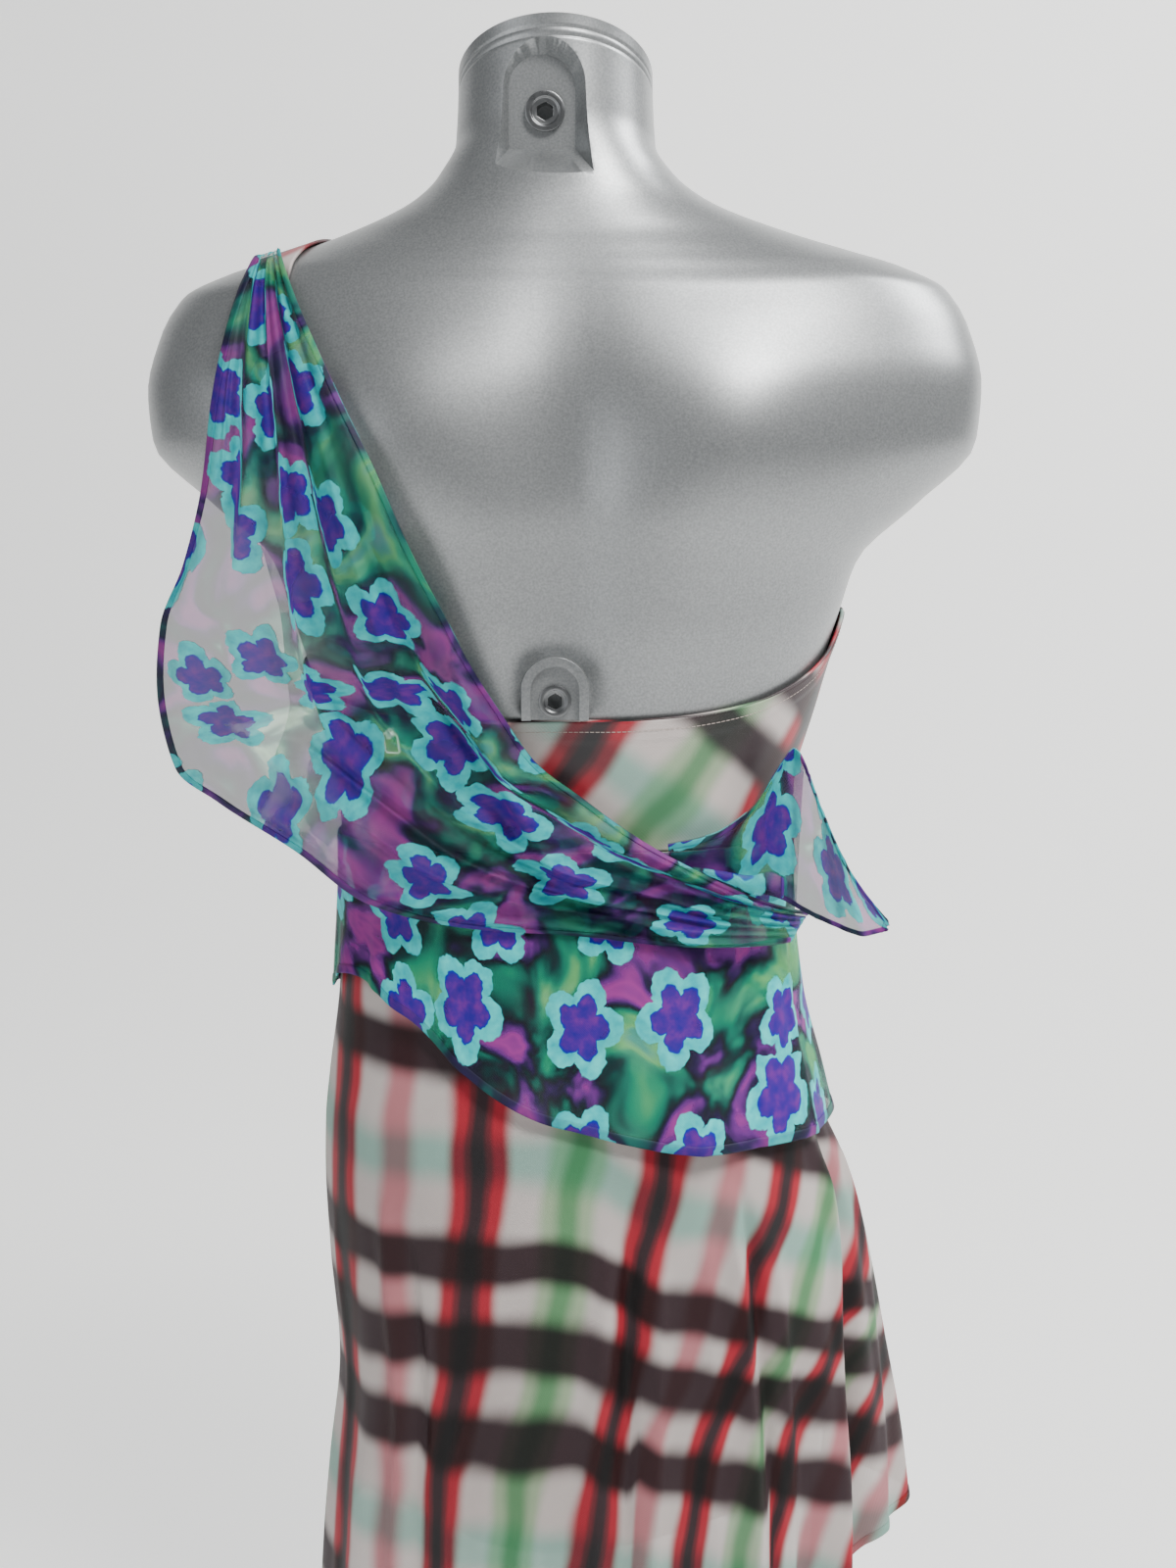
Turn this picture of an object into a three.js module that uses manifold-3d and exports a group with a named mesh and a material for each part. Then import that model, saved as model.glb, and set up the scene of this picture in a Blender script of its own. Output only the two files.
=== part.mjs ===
// A one-shoulder slip dress with a chiffon drape, on a limbless dress form and its stand.
// Millimetres, +Z up. The origin is the centre of the base plate's underside, and the
// back of the dress faces -Y, so +X is the wearer's right.
import * as THREE from 'three';
import { mergeVertices } from 'three/addons/utils/BufferGeometryUtils.js';
import Module from 'manifold-3d';

const wasm = await Module();
wasm.setup();

// ---- driving dimensions -------------------------------------------------------------
const SEAM = 0.3; // gap between pieces that are sewn together
const CLOTH = 1.2; // wall of the skirt, peplum, drape and flounce
const BODICE_CLOTH = 1.5; // the bodice is the heaviest cloth
const FORM_BOTTOM = 245;
const FORM_SIDES = 48;
const NECK_TOP = 950.5; // centre of the slanted neck rim
const NECK_SLANT = 0.45; // the rim rises this much for each millimetre towards the back
const SLANT_START = 861; // below this height the form's sections are level
const NECK_SHIFT = -4.5; // the neck stands a little to the left of the torso
const RIGHT_LIFT = 4; // the right shoulder is a little higher than the left
const BASE_RADIUS = 150;
const BASE_THICK = 10;
const POLE_RADIUS = 14;
const COLLAR_RADIUS = 26;
const COLLAR_TOP = 36;
const WAIST = 575; // height of the seam between bodice and skirt
const STRAP_FROM = 845; // the strap crosses the shoulder above this height
const STRAP_INNER = -112; // at its front end
const STRAP_OUTER = -156;
const STRAP_BACK_INNER = -129; // it narrows towards the back
const STRAP_BACK_OUTER = -150;
const STRAP_CLEAR = 0.9; // the strap rests on the shoulder and carries the dress

// The form's level sections: half width, depth behind and before the middle line, where
// that middle line runs, and how square the section is (2 is an ellipse).
const FORM = [
  { z: 245, half: 102, back: 82, front: 70, mid: 0, power: 2.3 },
  { z: 300, half: 110, back: 96, front: 82, mid: 0, power: 2.3 },
  { z: 358, half: 119, back: 107, front: 92, mid: 0, power: 2.3 },
  { z: 400, half: 122, back: 111, front: 95, mid: 0, power: 2.3 },
  { z: 440, half: 121, back: 105, front: 95, mid: 0, power: 2.3 },
  { z: 493, half: 114, back: 88, front: 90, mid: 0, power: 2.3 },
  { z: 545, half: 111, back: 76, front: 86, mid: 0, power: 2.3 },
  { z: 598, half: 115, back: 76, front: 91, mid: 0, power: 2.3 },
  { z: 649, half: 128, back: 84, front: 97, mid: 0, power: 2.3 },
  { z: 690, half: 140, back: 90, front: 101, mid: -2, power: 2.35 },
  { z: 715, half: 148, back: 91, front: 101, mid: -5, power: 2.4 },
  { z: 742, half: 176, back: 90, front: 97, mid: -10, power: 2.4 },
  { z: 772, half: 205, back: 87, front: 90, mid: -12, power: 2.4 },
  { z: 796, half: 207, back: 83, front: 82, mid: -13, power: 2.4 },
  { z: 824, half: 200, back: 74, front: 71, mid: -14, power: 2.3 },
  { z: 843, half: 188, back: 66, front: 61, mid: -14, power: 2.3 },
  { z: 853, half: 168, back: 62, front: 56, mid: -13, power: 2.25 },
  { z: 861, half: 143, back: 58, front: 53, mid: -13, power: 2.2 },
  { z: 872, half: 111, back: 53, front: 49, mid: -12, power: 2.15 },
  { z: 888, half: 74, back: 49, front: 47, mid: -9, power: 2.1 },
  { z: 899, half: 60, back: 48, front: 46, mid: -7, power: 2.05 },
  { z: 916, half: 49.5, back: 47, front: 45, mid: -5, power: 2 },
  { z: 950.5, half: 48, back: 46, front: 44, mid: -3, power: 2 },
];

// Soft rises and hollows of the form: centre, reach along X and Z, and height.
const RELIEF = [
  { x: -72, z: 672, across: 46, up: 42, out: 17, side: 1 }, // bust
  { x: 72, z: 672, across: 46, up: 42, out: 17, side: 1 },
  { x: -80, z: 772, across: 44, up: 50, out: 10, side: -1 }, // shoulder blades
  { x: 80, z: 772, across: 44, up: 50, out: 10, side: -1 },
  { x: -46, z: 690, across: 24, up: 70, out: 3, side: -1 }, // beside the spine
  { x: 46, z: 690, across: 24, up: 70, out: 3, side: -1 },
  { x: 0, z: 705, across: 22, up: 110, out: -8, side: -1 }, // spine
];

// The skirt's inner face: half widths to the left and right, and depths.
const SKIRT = [
  { z: 165, left: 128, right: 158, back: 130, front: 124 },
  { z: 200, left: 127, right: 160, back: 128, front: 121 },
  { z: 245, left: 124, right: 161, back: 124, front: 116 },
  { z: 300, left: 119, right: 158, back: 120, front: 109 },
  { z: 358, left: 124, right: 153, back: 117, front: 103 },
  { z: 400, left: 126, right: 144, back: 116.5, front: 101 },
  { z: 425, left: 125.5, right: 134, back: 113, front: 100 },
  { z: 450, left: 123, right: 127, back: 106.5, front: 98.5 },
  { z: 493, left: 117.5, right: 118.5, back: 92, front: 94 },
  { z: 545, left: 114.5, right: 114.5, back: 79.5, front: 89.5 },
  { z: 575, left: 115.6, right: 115.6, back: 78.8, front: 91.5 },
];
// Folds of the skirt: direction in degrees from the back middle, half breadth, depth at
// the hem, and the height where the fold runs out.
const SKIRT_FOLDS = [
  { at: -74, wide: 9, deep: 5, top: 400 },
  { at: -50, wide: 8, deep: 8, top: 440 },
  { at: -24, wide: 9, deep: 5, top: 330 },
  { at: 8, wide: 8, deep: 9, top: 400 },
  { at: 20, wide: 6, deep: -6, top: 340 },
  { at: 35, wide: 8, deep: 10, top: 420 },
  { at: 43, wide: 5, deep: -6, top: 400 },
  { at: 52, wide: 6, deep: 12, top: 440 },
  { at: 63, wide: 5.5, deep: -17, top: 435 },
  { at: 75, wide: 6, deep: 10, top: 430 },
  { at: 88, wide: 7, deep: 25, top: 440 },
  { at: 97, wide: 4.5, deep: -14, top: 420 },
  { at: 106, wide: 8, deep: 28, top: 440 },
  { at: 120, wide: 7, deep: -10, top: 400 },
  { at: 136, wide: 9, deep: 9, top: 380 },
  { at: 162, wide: 10, deep: 6, top: 360 },
  { at: 190, wide: 9, deep: 9, top: 400 },
  { at: 214, wide: 8, deep: 6, top: 340 },
  { at: 240, wide: 9, deep: 8, top: 380 },
  { at: 262, wide: 8, deep: 5, top: 400 },
];
// Height of the skirt's hem round the dress.
const SKIRT_EDGE = [
  { at: -90, z: 170 },
  { at: 0, z: 163 },
  { at: 58, z: 166 },
  { at: 64, z: 178 },
  { at: 71, z: 203 },
  { at: 86, z: 208 },
  { at: 104, z: 216 },
  { at: 130, z: 206 },
  { at: 152, z: 182 },
  { at: 180, z: 168 },
  { at: 270, z: 170 },
];

const LINING = [
  { z: 236, left: 119, right: 122, back: 107, front: 98 },
  { z: 300, left: 116.5, right: 122, back: 111, front: 98 },
  { z: 358, left: 121.5, right: 124, back: 112, front: 97.5 },
  { z: 400, left: 123.7, right: 124, back: 112.8, front: 97 },
  { z: 440, left: 122.5, right: 122.6, back: 106.7, front: 96.6 },
  { z: 493, left: 115.5, right: 115.5, back: 89.5, front: 91.5 },
  { z: 545, left: 112.4, right: 112.4, back: 77.4, front: 87.4 },
  { z: 575, left: 114, right: 114, back: 77.2, front: 89.9 },
];
const LINING_FOLDS = [
  { at: -60, wide: 12, deep: 3, top: 320 },
  { at: -12, wide: 12, deep: 3, top: 320 },
  { at: 40, wide: 12, deep: 4, top: 340 },
  { at: 130, wide: 12, deep: 3, top: 320 },
  { at: 200, wide: 12, deep: 3, top: 320 },
];
const LINING_EDGE = [
  { at: -90, z: 245 },
  { at: -40, z: 244 },
  { at: 0, z: 231 },
  { at: 45, z: 243 },
  { at: 90, z: 244 },
  { at: 180, z: 236 },
  { at: 270, z: 245 },
];

const PEPLUM = [
  { z: 395, left: 134, right: 149, back: 124, front: 113 },
  { z: 425, left: 131, right: 137.5, back: 119.5, front: 110 },
  { z: 450, left: 128, right: 132, back: 112, front: 106 },
  { z: 493, left: 121, right: 122.5, back: 97, front: 99.5 },
  { z: 545, left: 118, right: 118, back: 83, front: 93.5 },
  { z: 575, left: 117.5, right: 117.5, back: 80.7, front: 93.4 },
];
const PEPLUM_FOLDS = [
  { at: -62, wide: 8, deep: 5, top: 560 },
  { at: -40, wide: 8, deep: 4, top: 540 },
  { at: -14, wide: 9, deep: 2.5, top: 500 },
  { at: 26, wide: 9, deep: 4, top: 540 },
  { at: 58, wide: 8, deep: 3, top: 520 },
  { at: 92, wide: 9, deep: 4, top: 540 },
  { at: 122, wide: 9, deep: 5, top: 550 },
  { at: 158, wide: 9, deep: 4, top: 540 },
  { at: 196, wide: 9, deep: 5, top: 540 },
  { at: 232, wide: 9, deep: 4, top: 540 },
];
const PEPLUM_EDGE = [
  { at: -90, z: 492 },
  { at: -58, z: 510 },
  { at: -36, z: 496 },
  { at: -20, z: 473 },
  { at: 0, z: 448 },
  { at: 23, z: 435 },
  { at: 60, z: 430 },
  { at: 90, z: 425 },
  { at: 140, z: 416 },
  { at: 185, z: 424 },
  { at: 235, z: 462 },
  { at: 270, z: 492 },
];

// Upper edge of the bodice's back and side, by direction.
const BACK_EDGE = [
  { at: -90, z: 662 },
  { at: -60, z: 646 },
  { at: -30, z: 639.5 },
  { at: 0, z: 639 },
  { at: 22, z: 641 },
  { at: 38, z: 645 },
  { at: 56, z: 654 },
  { at: 74, z: 668 },
  { at: 90, z: 688 },
];
// Edges of the bodice's front at each height: the armhole side and the neckline side.
const FRONT_EDGE = [
  { z: 575, armhole: -200, neckline: 200 },
  { z: 656, armhole: -200, neckline: 200 },
  { z: 662, armhole: -133.3, neckline: 200 },
  { z: 670, armhole: -133.1, neckline: 180 },
  { z: 680, armhole: -131.6, neckline: 160 },
  { z: 690, armhole: -131.1, neckline: 141 },
  { z: 703, armhole: -131.8, neckline: 137 },
  { z: 715, armhole: -132.8, neckline: 124 },
  { z: 735, armhole: -136, neckline: 88 },
  { z: 765, armhole: -145, neckline: 27 },
  { z: 800, armhole: -153, neckline: -44 },
  { z: 825, armhole: -156, neckline: -86 },
  { z: 845, armhole: -156, neckline: -112 },
];

// The drape over the left shoulder: its neckline edge and its free edge, in pairs from
// the shoulder to the right side of the waist.
const DRAPE = [
  { along: 0, innerX: -136, innerZ: 863, outerX: -149, outerZ: 860 },
  { along: 0.08, innerX: -123, innerZ: 834, outerX: -157, outerZ: 825 },
  { along: 0.17, innerX: -111, innerZ: 810, outerX: -163, outerZ: 789 },
  { along: 0.26, innerX: -99, innerZ: 786, outerX: -168, outerZ: 750 },
  { along: 0.35, innerX: -85, innerZ: 758, outerX: -179, outerZ: 714 },
  { along: 0.44, innerX: -68, innerZ: 718, outerX: -193, outerZ: 684 },
  { along: 0.52, innerX: -54, innerZ: 690, outerX: -197, outerZ: 652 },
  { along: 0.6, innerX: -42, innerZ: 666, outerX: -190, outerZ: 614 },
  { along: 0.67, innerX: -30, innerZ: 646, outerX: -168, outerZ: 598 },
  { along: 0.74, innerX: -13, innerZ: 620, outerX: -131, outerZ: 576 },
  { along: 0.81, innerX: 10, innerZ: 602, outerX: -94, outerZ: 550 },
  { along: 0.87, innerX: 38, innerZ: 582, outerX: -50, outerZ: 540 },
  { along: 0.92, innerX: 64, innerZ: 567, outerX: 8, outerZ: 536 },
  { along: 0.96, innerX: 90, innerZ: 553, outerX: 58, outerZ: 530 },
  { along: 1, innerX: 122, innerZ: 540, outerX: 112, outerZ: 527 },
];
// The section that the drape follows: it leaves the body at the left and hangs free.
const DRAPE_SECTION = [
  { z: 520, left: 150, right: 138, clear: 10.5 },
  { z: 560, left: 205, right: 138, clear: 10.5 },
  { z: 600, left: 238, right: 145, clear: 10.5 },
  { z: 660, left: 246, right: 160, clear: 11.5 },
  { z: 720, left: 242, right: 180, clear: 11 },
  { z: 780, left: 236, right: 230, clear: 9 },
  { z: 820, left: 220, right: 220, clear: 7 },
  { z: 841, left: 200, right: 200, clear: 4.4 },
  { z: 852, left: 180, right: 178, clear: 3.4 },
  { z: 858, left: 168, right: 168, clear: 3.4 },
  { z: 864, left: 155, right: 155, clear: 3.4 },
];
// Large folds of the drape: where each lies across the cloth, its breadth and height, and
// how the height goes from the shoulder end to the waist end.
const DRAPE_FOLDS = [
  { at: 0.06, wide: 0.05, start: 1, middle: 6, end: 5 },
  { at: 0.2, wide: 0.05, start: 1, middle: 3, end: 4 },
  { at: 0.36, wide: 0.06, start: 1.5, middle: 5, end: 4 },
  { at: 0.52, wide: 0.05, start: 1, middle: 6, end: 3 },
  { at: 0.7, wide: 0.07, start: 1.5, middle: 6, end: 3 },
  { at: 0.9, wide: 0.06, start: 1, middle: 5, end: 3 },
];

// The flounce at the right side of the waist: lower and upper edge, from the back middle
// outwards, how wide a section it follows and how far it stands off the body.
const FLOUNCE = [
  { along: 0, lowX: 52, lowZ: 565, highX: 50, highZ: 580, right: 138, clear: 8.4 },
  { along: 0.15, lowX: 70, lowZ: 557, highX: 72, highZ: 584, right: 138, clear: 8.4 },
  { along: 0.28, lowX: 85, lowZ: 551, highX: 93, highZ: 597, right: 138, clear: 8 },
  { along: 0.35, lowX: 94, lowZ: 553.5, highX: 103, highZ: 612, right: 139, clear: 8 },
  { along: 0.42, lowX: 104, lowZ: 551, highX: 112, highZ: 624, right: 148, clear: 8 },
  { along: 0.55, lowX: 119, lowZ: 543, highX: 119, highZ: 612, right: 162, clear: 7 },
  { along: 0.68, lowX: 130, lowZ: 537, highX: 126, highZ: 594, right: 176, clear: 7 },
  { along: 0.8, lowX: 141, lowZ: 533, highX: 135, highZ: 573, right: 186, clear: 7 },
  { along: 0.9, lowX: 150, lowZ: 531, highX: 147, highZ: 554, right: 194, clear: 7 },
  { along: 1, lowX: 159, lowZ: 532, highX: 161, highZ: 537, right: 200, clear: 7 },
];
// The flounce's outer part ripples: where that starts, its height and how fast it goes.
const RIPPLE = { from: 0.35, high: 2.5, rate: 20 };

// The drape's tail, which shows beyond its neckline edge and ends in a small loop.
const TAIL = [
  { along: 0, x: 62, lowZ: 568, highZ: 569.5 },
  { along: 0.3, x: 76, lowZ: 562, highZ: 567 },
  { along: 0.6, x: 91, lowZ: 554.5, highZ: 564 },
  { along: 0.85, x: 100, lowZ: 550, highZ: 565 },
  { along: 1, x: 107, lowZ: 552, highZ: 561 },
];
const TAIL_RIGHT = 152;
const TAIL_CLEAR = 13.4;
const TAIL_SWELL = 2;

// ---- smooth reading of the tables ---------------------------------------------------
function read(table, column, place, key = 'z') {
  const last = table.length - 1;
  if (place <= table[0][key]) return table[0][column];
  if (place >= table[last][key]) return table[last][column];
  let i = 0;
  while (table[i + 1][key] < place) i++;
  const rise = (k) => (table[k + 1][column] - table[k][column]) / (table[k + 1][key] - table[k][key]);
  const slope = (k) => {
    if (k === 0 || k === last) return 0;
    const before = rise(k - 1);
    const after = rise(k);
    return before * after <= 0 ? 0 : (2 * before * after) / (before + after);
  };
  const gap = table[i + 1][key] - table[i][key];
  const t = (place - table[i][key]) / gap;
  const from = table[i][column];
  const to = table[i + 1][column];
  const bend = slope(i) * t * (1 - t) ** 2 - slope(i + 1) * t * t * (1 - t);
  return from + (to - from) * t * t * (3 - 2 * t) + gap * bend;
}

const radians = (degrees) => (degrees * Math.PI) / 180;
const bell = (distance, reach) => Math.exp(-((distance / reach) ** 2));
const ease = (t) => {
  const s = Math.min(1, Math.max(0, t));
  return s * s * (3 - 2 * s);
};

// ---- sections -----------------------------------------------------------------------
// A point of a level section: direction in degrees from the back middle towards +X.
function onSection(section, direction, z, out = 0) {
  const s = Math.sin(radians(direction));
  const c = Math.cos(radians(direction));
  const half = (s < 0 ? section.left : section.right) + out;
  const depth = (c > 0 ? section.back : section.front) + out;
  const x = half * Math.sign(s) * Math.abs(s) ** (2 / section.power);
  const y = section.mid - depth * Math.sign(c) * Math.abs(c) ** (2 / section.power);
  return [x, y, z];
}

function formSection(z, clear = 0) {
  const half = read(FORM, 'half', z) + clear;
  return {
    left: half,
    right: half,
    back: read(FORM, 'back', z) + clear,
    front: read(FORM, 'front', z) + clear,
    mid: read(FORM, 'mid', z),
    power: read(FORM, 'power', z),
  };
}

// The form's own relief is added to every layer that lies on it.
function withRelief([x, y, z], middle) {
  const side = y < middle ? -1 : 1;
  let out = 0;
  for (const r of RELIEF) {
    if (r.side === side) out += r.out * bell(x - r.x, r.across) * bell(z - r.z, r.up);
  }
  return [x, y + side * out * ease(Math.abs(y - middle) / 40), z];
}

function onForm(direction, z, clear = 0) {
  const section = formSection(z, clear);
  return withRelief(onSection(section, direction, z), section.mid);
}

function tableSection(table, z) {
  return {
    left: read(table, 'left', z),
    right: read(table, 'right', z),
    back: read(table, 'back', z),
    front: read(table, 'front', z),
    mid: 0,
    power: 2.3,
  };
}

function foldAt(folds, direction, z, hem) {
  let out = 0;
  for (const f of folds) {
    const turn = ((direction - f.at + 540) % 360) - 180;
    out += f.deep * bell(turn, f.wide) * Math.max(0, (f.top - z) / (f.top - hem)) ** 1.4;
  }
  return out;
}

// The direction in which a section of the given half width passes x.
function directionOf(x, half, power, front = false) {
  const s = Math.min(1, Math.abs(x) / half) ** (power / 2);
  const angle = (Math.asin(s) * 180) / Math.PI;
  const back = Math.sign(x) * angle;
  return front ? 180 - back : back;
}

// ---- solids -------------------------------------------------------------------------
function solidFrom(points, faces) {
  const geometry = new THREE.BufferGeometry();
  geometry.setAttribute('position', new THREE.Float32BufferAttribute(points.flat(), 3));
  geometry.setIndex(faces.flat());
  return geometry;
}

// A cloth wall between an inner and an outer face, both given over u and v in 0..1.
// u runs to the right as seen from outside with v running up.
function wall(place, columns, rows, closed = false) {
  const count = closed ? columns : columns + 1;
  const points = [];
  for (const face of [0, 1]) {
    for (let j = 0; j <= rows; j++) {
      for (let i = 0; i < count; i++) points.push(place(i / columns, j / rows, face));
    }
  }
  const layer = count * (rows + 1);
  const id = (face, i, j) => face * layer + j * count + (i % count);
  const faces = [];
  const quad = (a, b, c, d) => faces.push([a, b, c], [a, c, d]);
  for (let j = 0; j < rows; j++) {
    for (let i = 0; i < columns; i++) {
      quad(id(1, i, j), id(1, i + 1, j), id(1, i + 1, j + 1), id(1, i, j + 1));
      quad(id(0, i, j), id(0, i, j + 1), id(0, i + 1, j + 1), id(0, i + 1, j));
    }
  }
  for (let i = 0; i < columns; i++) {
    quad(id(0, i, 0), id(0, i + 1, 0), id(1, i + 1, 0), id(1, i, 0));
    quad(id(1, i, rows), id(1, i + 1, rows), id(0, i + 1, rows), id(0, i, rows));
  }
  if (!closed) {
    for (let j = 0; j < rows; j++) {
      quad(id(0, 0, j), id(1, 0, j), id(1, 0, j + 1), id(0, 0, j + 1));
      quad(id(1, columns, j), id(0, columns, j), id(0, columns, j + 1), id(1, columns, j + 1));
    }
  }
  return solidFrom(points, faces);
}

function toManifold(geometry) {
  const bare = geometry.clone();
  bare.deleteAttribute('normal');
  bare.deleteAttribute('uv');
  const merged = mergeVertices(bare, 1e-4);
  return new wasm.Manifold(new wasm.Mesh({
    numProp: 3,
    vertProperties: new Float32Array(merged.attributes.position.array),
    triVerts: new Uint32Array(merged.index.array),
  }));
}

function fromManifold(solid) {
  const mesh = solid.getMesh();
  const geometry = new THREE.BufferGeometry();
  geometry.setAttribute('position', new THREE.BufferAttribute(mesh.vertProperties, 3));
  geometry.setIndex(new THREE.BufferAttribute(mesh.triVerts, 1));
  return geometry;
}

// ---- dress form ---------------------------------------------------------------------
const BETWEEN = [272, 420, 466, 520, 572, 624, 662, 670, 680, 696, 703, 709, 722, 729, 735, 757, 934];
const LEVELS = [...FORM.map((row) => row.z), ...BETWEEN].sort((a, b) => a - b);
const RECESS = { x: -10.5, width: 42, low: 903.5, high: 960.5, floor: -41 }; // pocket in the neck
const BOSS = { x: -4, radius: 16, low: 641, high: 671, face: -94, deep: 26 }; // lower back

// An arch that stands on a level line, drawn in X and Z and pushed along +Y.
function arch(x, halfWidth, low, high, fromY, toY, steps = 10) {
  const shape = new THREE.Shape();
  shape.moveTo(-halfWidth, low);
  shape.lineTo(halfWidth, low);
  shape.lineTo(halfWidth, high - halfWidth);
  for (let i = 1; i <= steps; i++) {
    const a = (Math.PI * i) / steps;
    shape.lineTo(halfWidth * Math.cos(a), high - halfWidth + halfWidth * Math.sin(a));
  }
  const geometry = new THREE.ExtrudeGeometry(shape, { depth: toY - fromY, bevelEnabled: false });
  geometry.rotateX(Math.PI / 2);
  geometry.translate(x, toY, 0);
  return geometry;
}

function formTorso() {
  const points = [];
  for (const z of LEVELS) {
    const slant = NECK_SLANT * ease((z - SLANT_START) / (NECK_TOP - SLANT_START));
    for (let i = 0; i < FORM_SIDES; i++) {
      const p = onForm((360 * i) / FORM_SIDES, z);
      p[2] += -slant * (p[1] - read(FORM, 'mid', z));
      p[2] += RIGHT_LIFT * ease((p[0] - 60) / 100) * ease((z - 750) / 60);
      p[0] += NECK_SHIFT * ease((z - SLANT_START - 9) / 40);
      points.push(p);
    }
  }
  const faces = [];
  const id = (i, j) => j * FORM_SIDES + (i % FORM_SIDES);
  for (let j = 0; j + 1 < LEVELS.length; j++) {
    for (let i = 0; i < FORM_SIDES; i++) {
      faces.push([id(i, j), id(i + 1, j), id(i + 1, j + 1)]);
      faces.push([id(i, j), id(i + 1, j + 1), id(i, j + 1)]);
    }
  }
  const top = LEVELS.length - 1;
  points.push([0, 0, FORM_BOTTOM], [NECK_SHIFT, read(FORM, 'mid', NECK_TOP), NECK_TOP]);
  for (let i = 0; i < FORM_SIDES; i++) {
    faces.push([points.length - 2, id(i + 1, 0), id(i, 0)]);
    faces.push([points.length - 1, id(i, top), id(i + 1, top)]);
  }
  const torso = toManifold(solidFrom(points, faces));
  const pocket = toManifold(
    arch(RECESS.x, RECESS.width / 2, RECESS.low, RECESS.high, -90, RECESS.floor));
  const boss = toManifold(
    arch(BOSS.x, BOSS.radius, BOSS.low, BOSS.high, BOSS.face, BOSS.face + BOSS.deep));
  const dish = toManifold(
    arch(BOSS.x, BOSS.radius - 4.5, BOSS.low - 1, BOSS.high - 4.5, BOSS.face - 5, BOSS.face + 4));
  return fromManifold(torso.subtract(pocket).add(boss).subtract(dish));
}

// A threaded insert seen as a ring with a hexagonal hole, lying on a wall that faces -Y.
function hexInsert(x, wallY, z, radius, hexRadius, thick) {
  const ring = new THREE.Shape();
  ring.absarc(0, 0, radius, 0, 2 * Math.PI, false);
  const hole = new THREE.Path();
  for (let i = 0; i <= 6; i++) {
    const a = (Math.PI * i) / 3;
    if (i === 0) hole.moveTo(hexRadius, 0);
    else hole.lineTo(hexRadius * Math.cos(a), hexRadius * Math.sin(a));
  }
  ring.holes.push(hole);
  const options = { depth: thick, bevelEnabled: false, curveSegments: 20 };
  const geometry = new THREE.ExtrudeGeometry(ring, options);
  geometry.rotateX(Math.PI / 2);
  geometry.translate(x, wallY - SEAM, z);
  return geometry;
}

// ---- stand --------------------------------------------------------------------------
function turned(profile, sides) {
  const points = profile.map(([radius, height]) => new THREE.Vector2(radius, height));
  const geometry = new THREE.LatheGeometry(points, sides);
  geometry.rotateX(Math.PI / 2);
  return geometry;
}

function basePlate() {
  const edge = 3;
  return turned([
    [0, 0],
    [BASE_RADIUS, 0],
    [BASE_RADIUS, BASE_THICK - edge],
    [BASE_RADIUS - edge, BASE_THICK],
    [0, BASE_THICK],
  ], 48);
}

function poleCollar() {
  const low = BASE_THICK + SEAM;
  return turned([
    [POLE_RADIUS + SEAM, low],
    [COLLAR_RADIUS, low],
    [COLLAR_RADIUS, COLLAR_TOP - 4],
    [COLLAR_RADIUS - 4, COLLAR_TOP],
    [POLE_RADIUS + SEAM, COLLAR_TOP],
    [POLE_RADIUS + SEAM, low],
  ], 28);
}

function standPole() {
  const low = BASE_THICK + SEAM;
  const high = FORM_BOTTOM - SEAM;
  return turned([[0, low], [POLE_RADIUS, low], [POLE_RADIUS, high], [0, high]], 28);
}

// ---- bodice -------------------------------------------------------------------------
const SIDE_GAP = 0.08; // degrees kept free at each side seam
const BODICE_CLEAR = 1.6; // the bodice's inner face from the form

function bodiceBack() {
  return wall((u, v, face) => {
    const direction = -90 + SIDE_GAP + u * (180 - 2 * SIDE_GAP);
    const top = read(BACK_EDGE, 'z', direction, 'at');
    const z = WAIST + SEAM + v * (top - WAIST - SEAM);
    return onForm(direction, z, BODICE_CLEAR + face * BODICE_CLOTH);
  }, 24, 6);
}

function bodiceFront() {
  const within = LEVELS.filter((z) => z > WAIST + 9 && z < STRAP_FROM - 9);
  const heights = [WAIST + SEAM, ...within, STRAP_FROM];
  return wall((u, v, face) => {
    const z = heights[Math.round(v * (heights.length - 1))];
    const half = read(FORM, 'half', z) + BODICE_CLEAR;
    const power = read(FORM, 'power', z);
    const neckline = Math.min(read(FRONT_EDGE, 'neckline', z), half);
    const armhole = Math.max(read(FRONT_EDGE, 'armhole', z), -half);
    const from = Math.max(90 + SIDE_GAP, directionOf(neckline, half, power, true));
    const to = Math.min(270 - SIDE_GAP, directionOf(armhole, half, power, true));
    return onForm(from + u * (to - from), z, BODICE_CLEAR + face * BODICE_CLOTH);
  }, 24, heights.length - 1);
}

// Height of the form's shoulder over a point.
function shoulderTop(x, y) {
  let low = 780;
  let high = 900;
  for (let i = 0; i < 30; i++) {
    const z = (low + high) / 2;
    const s = formSection(z);
    const depth = y < s.mid ? s.back : s.front;
    const within = Math.abs(x / s.left) ** s.power + Math.abs((y - s.mid) / depth) ** s.power;
    if (within < 1) low = z;
    else high = z;
  }
  return low;
}

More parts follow.
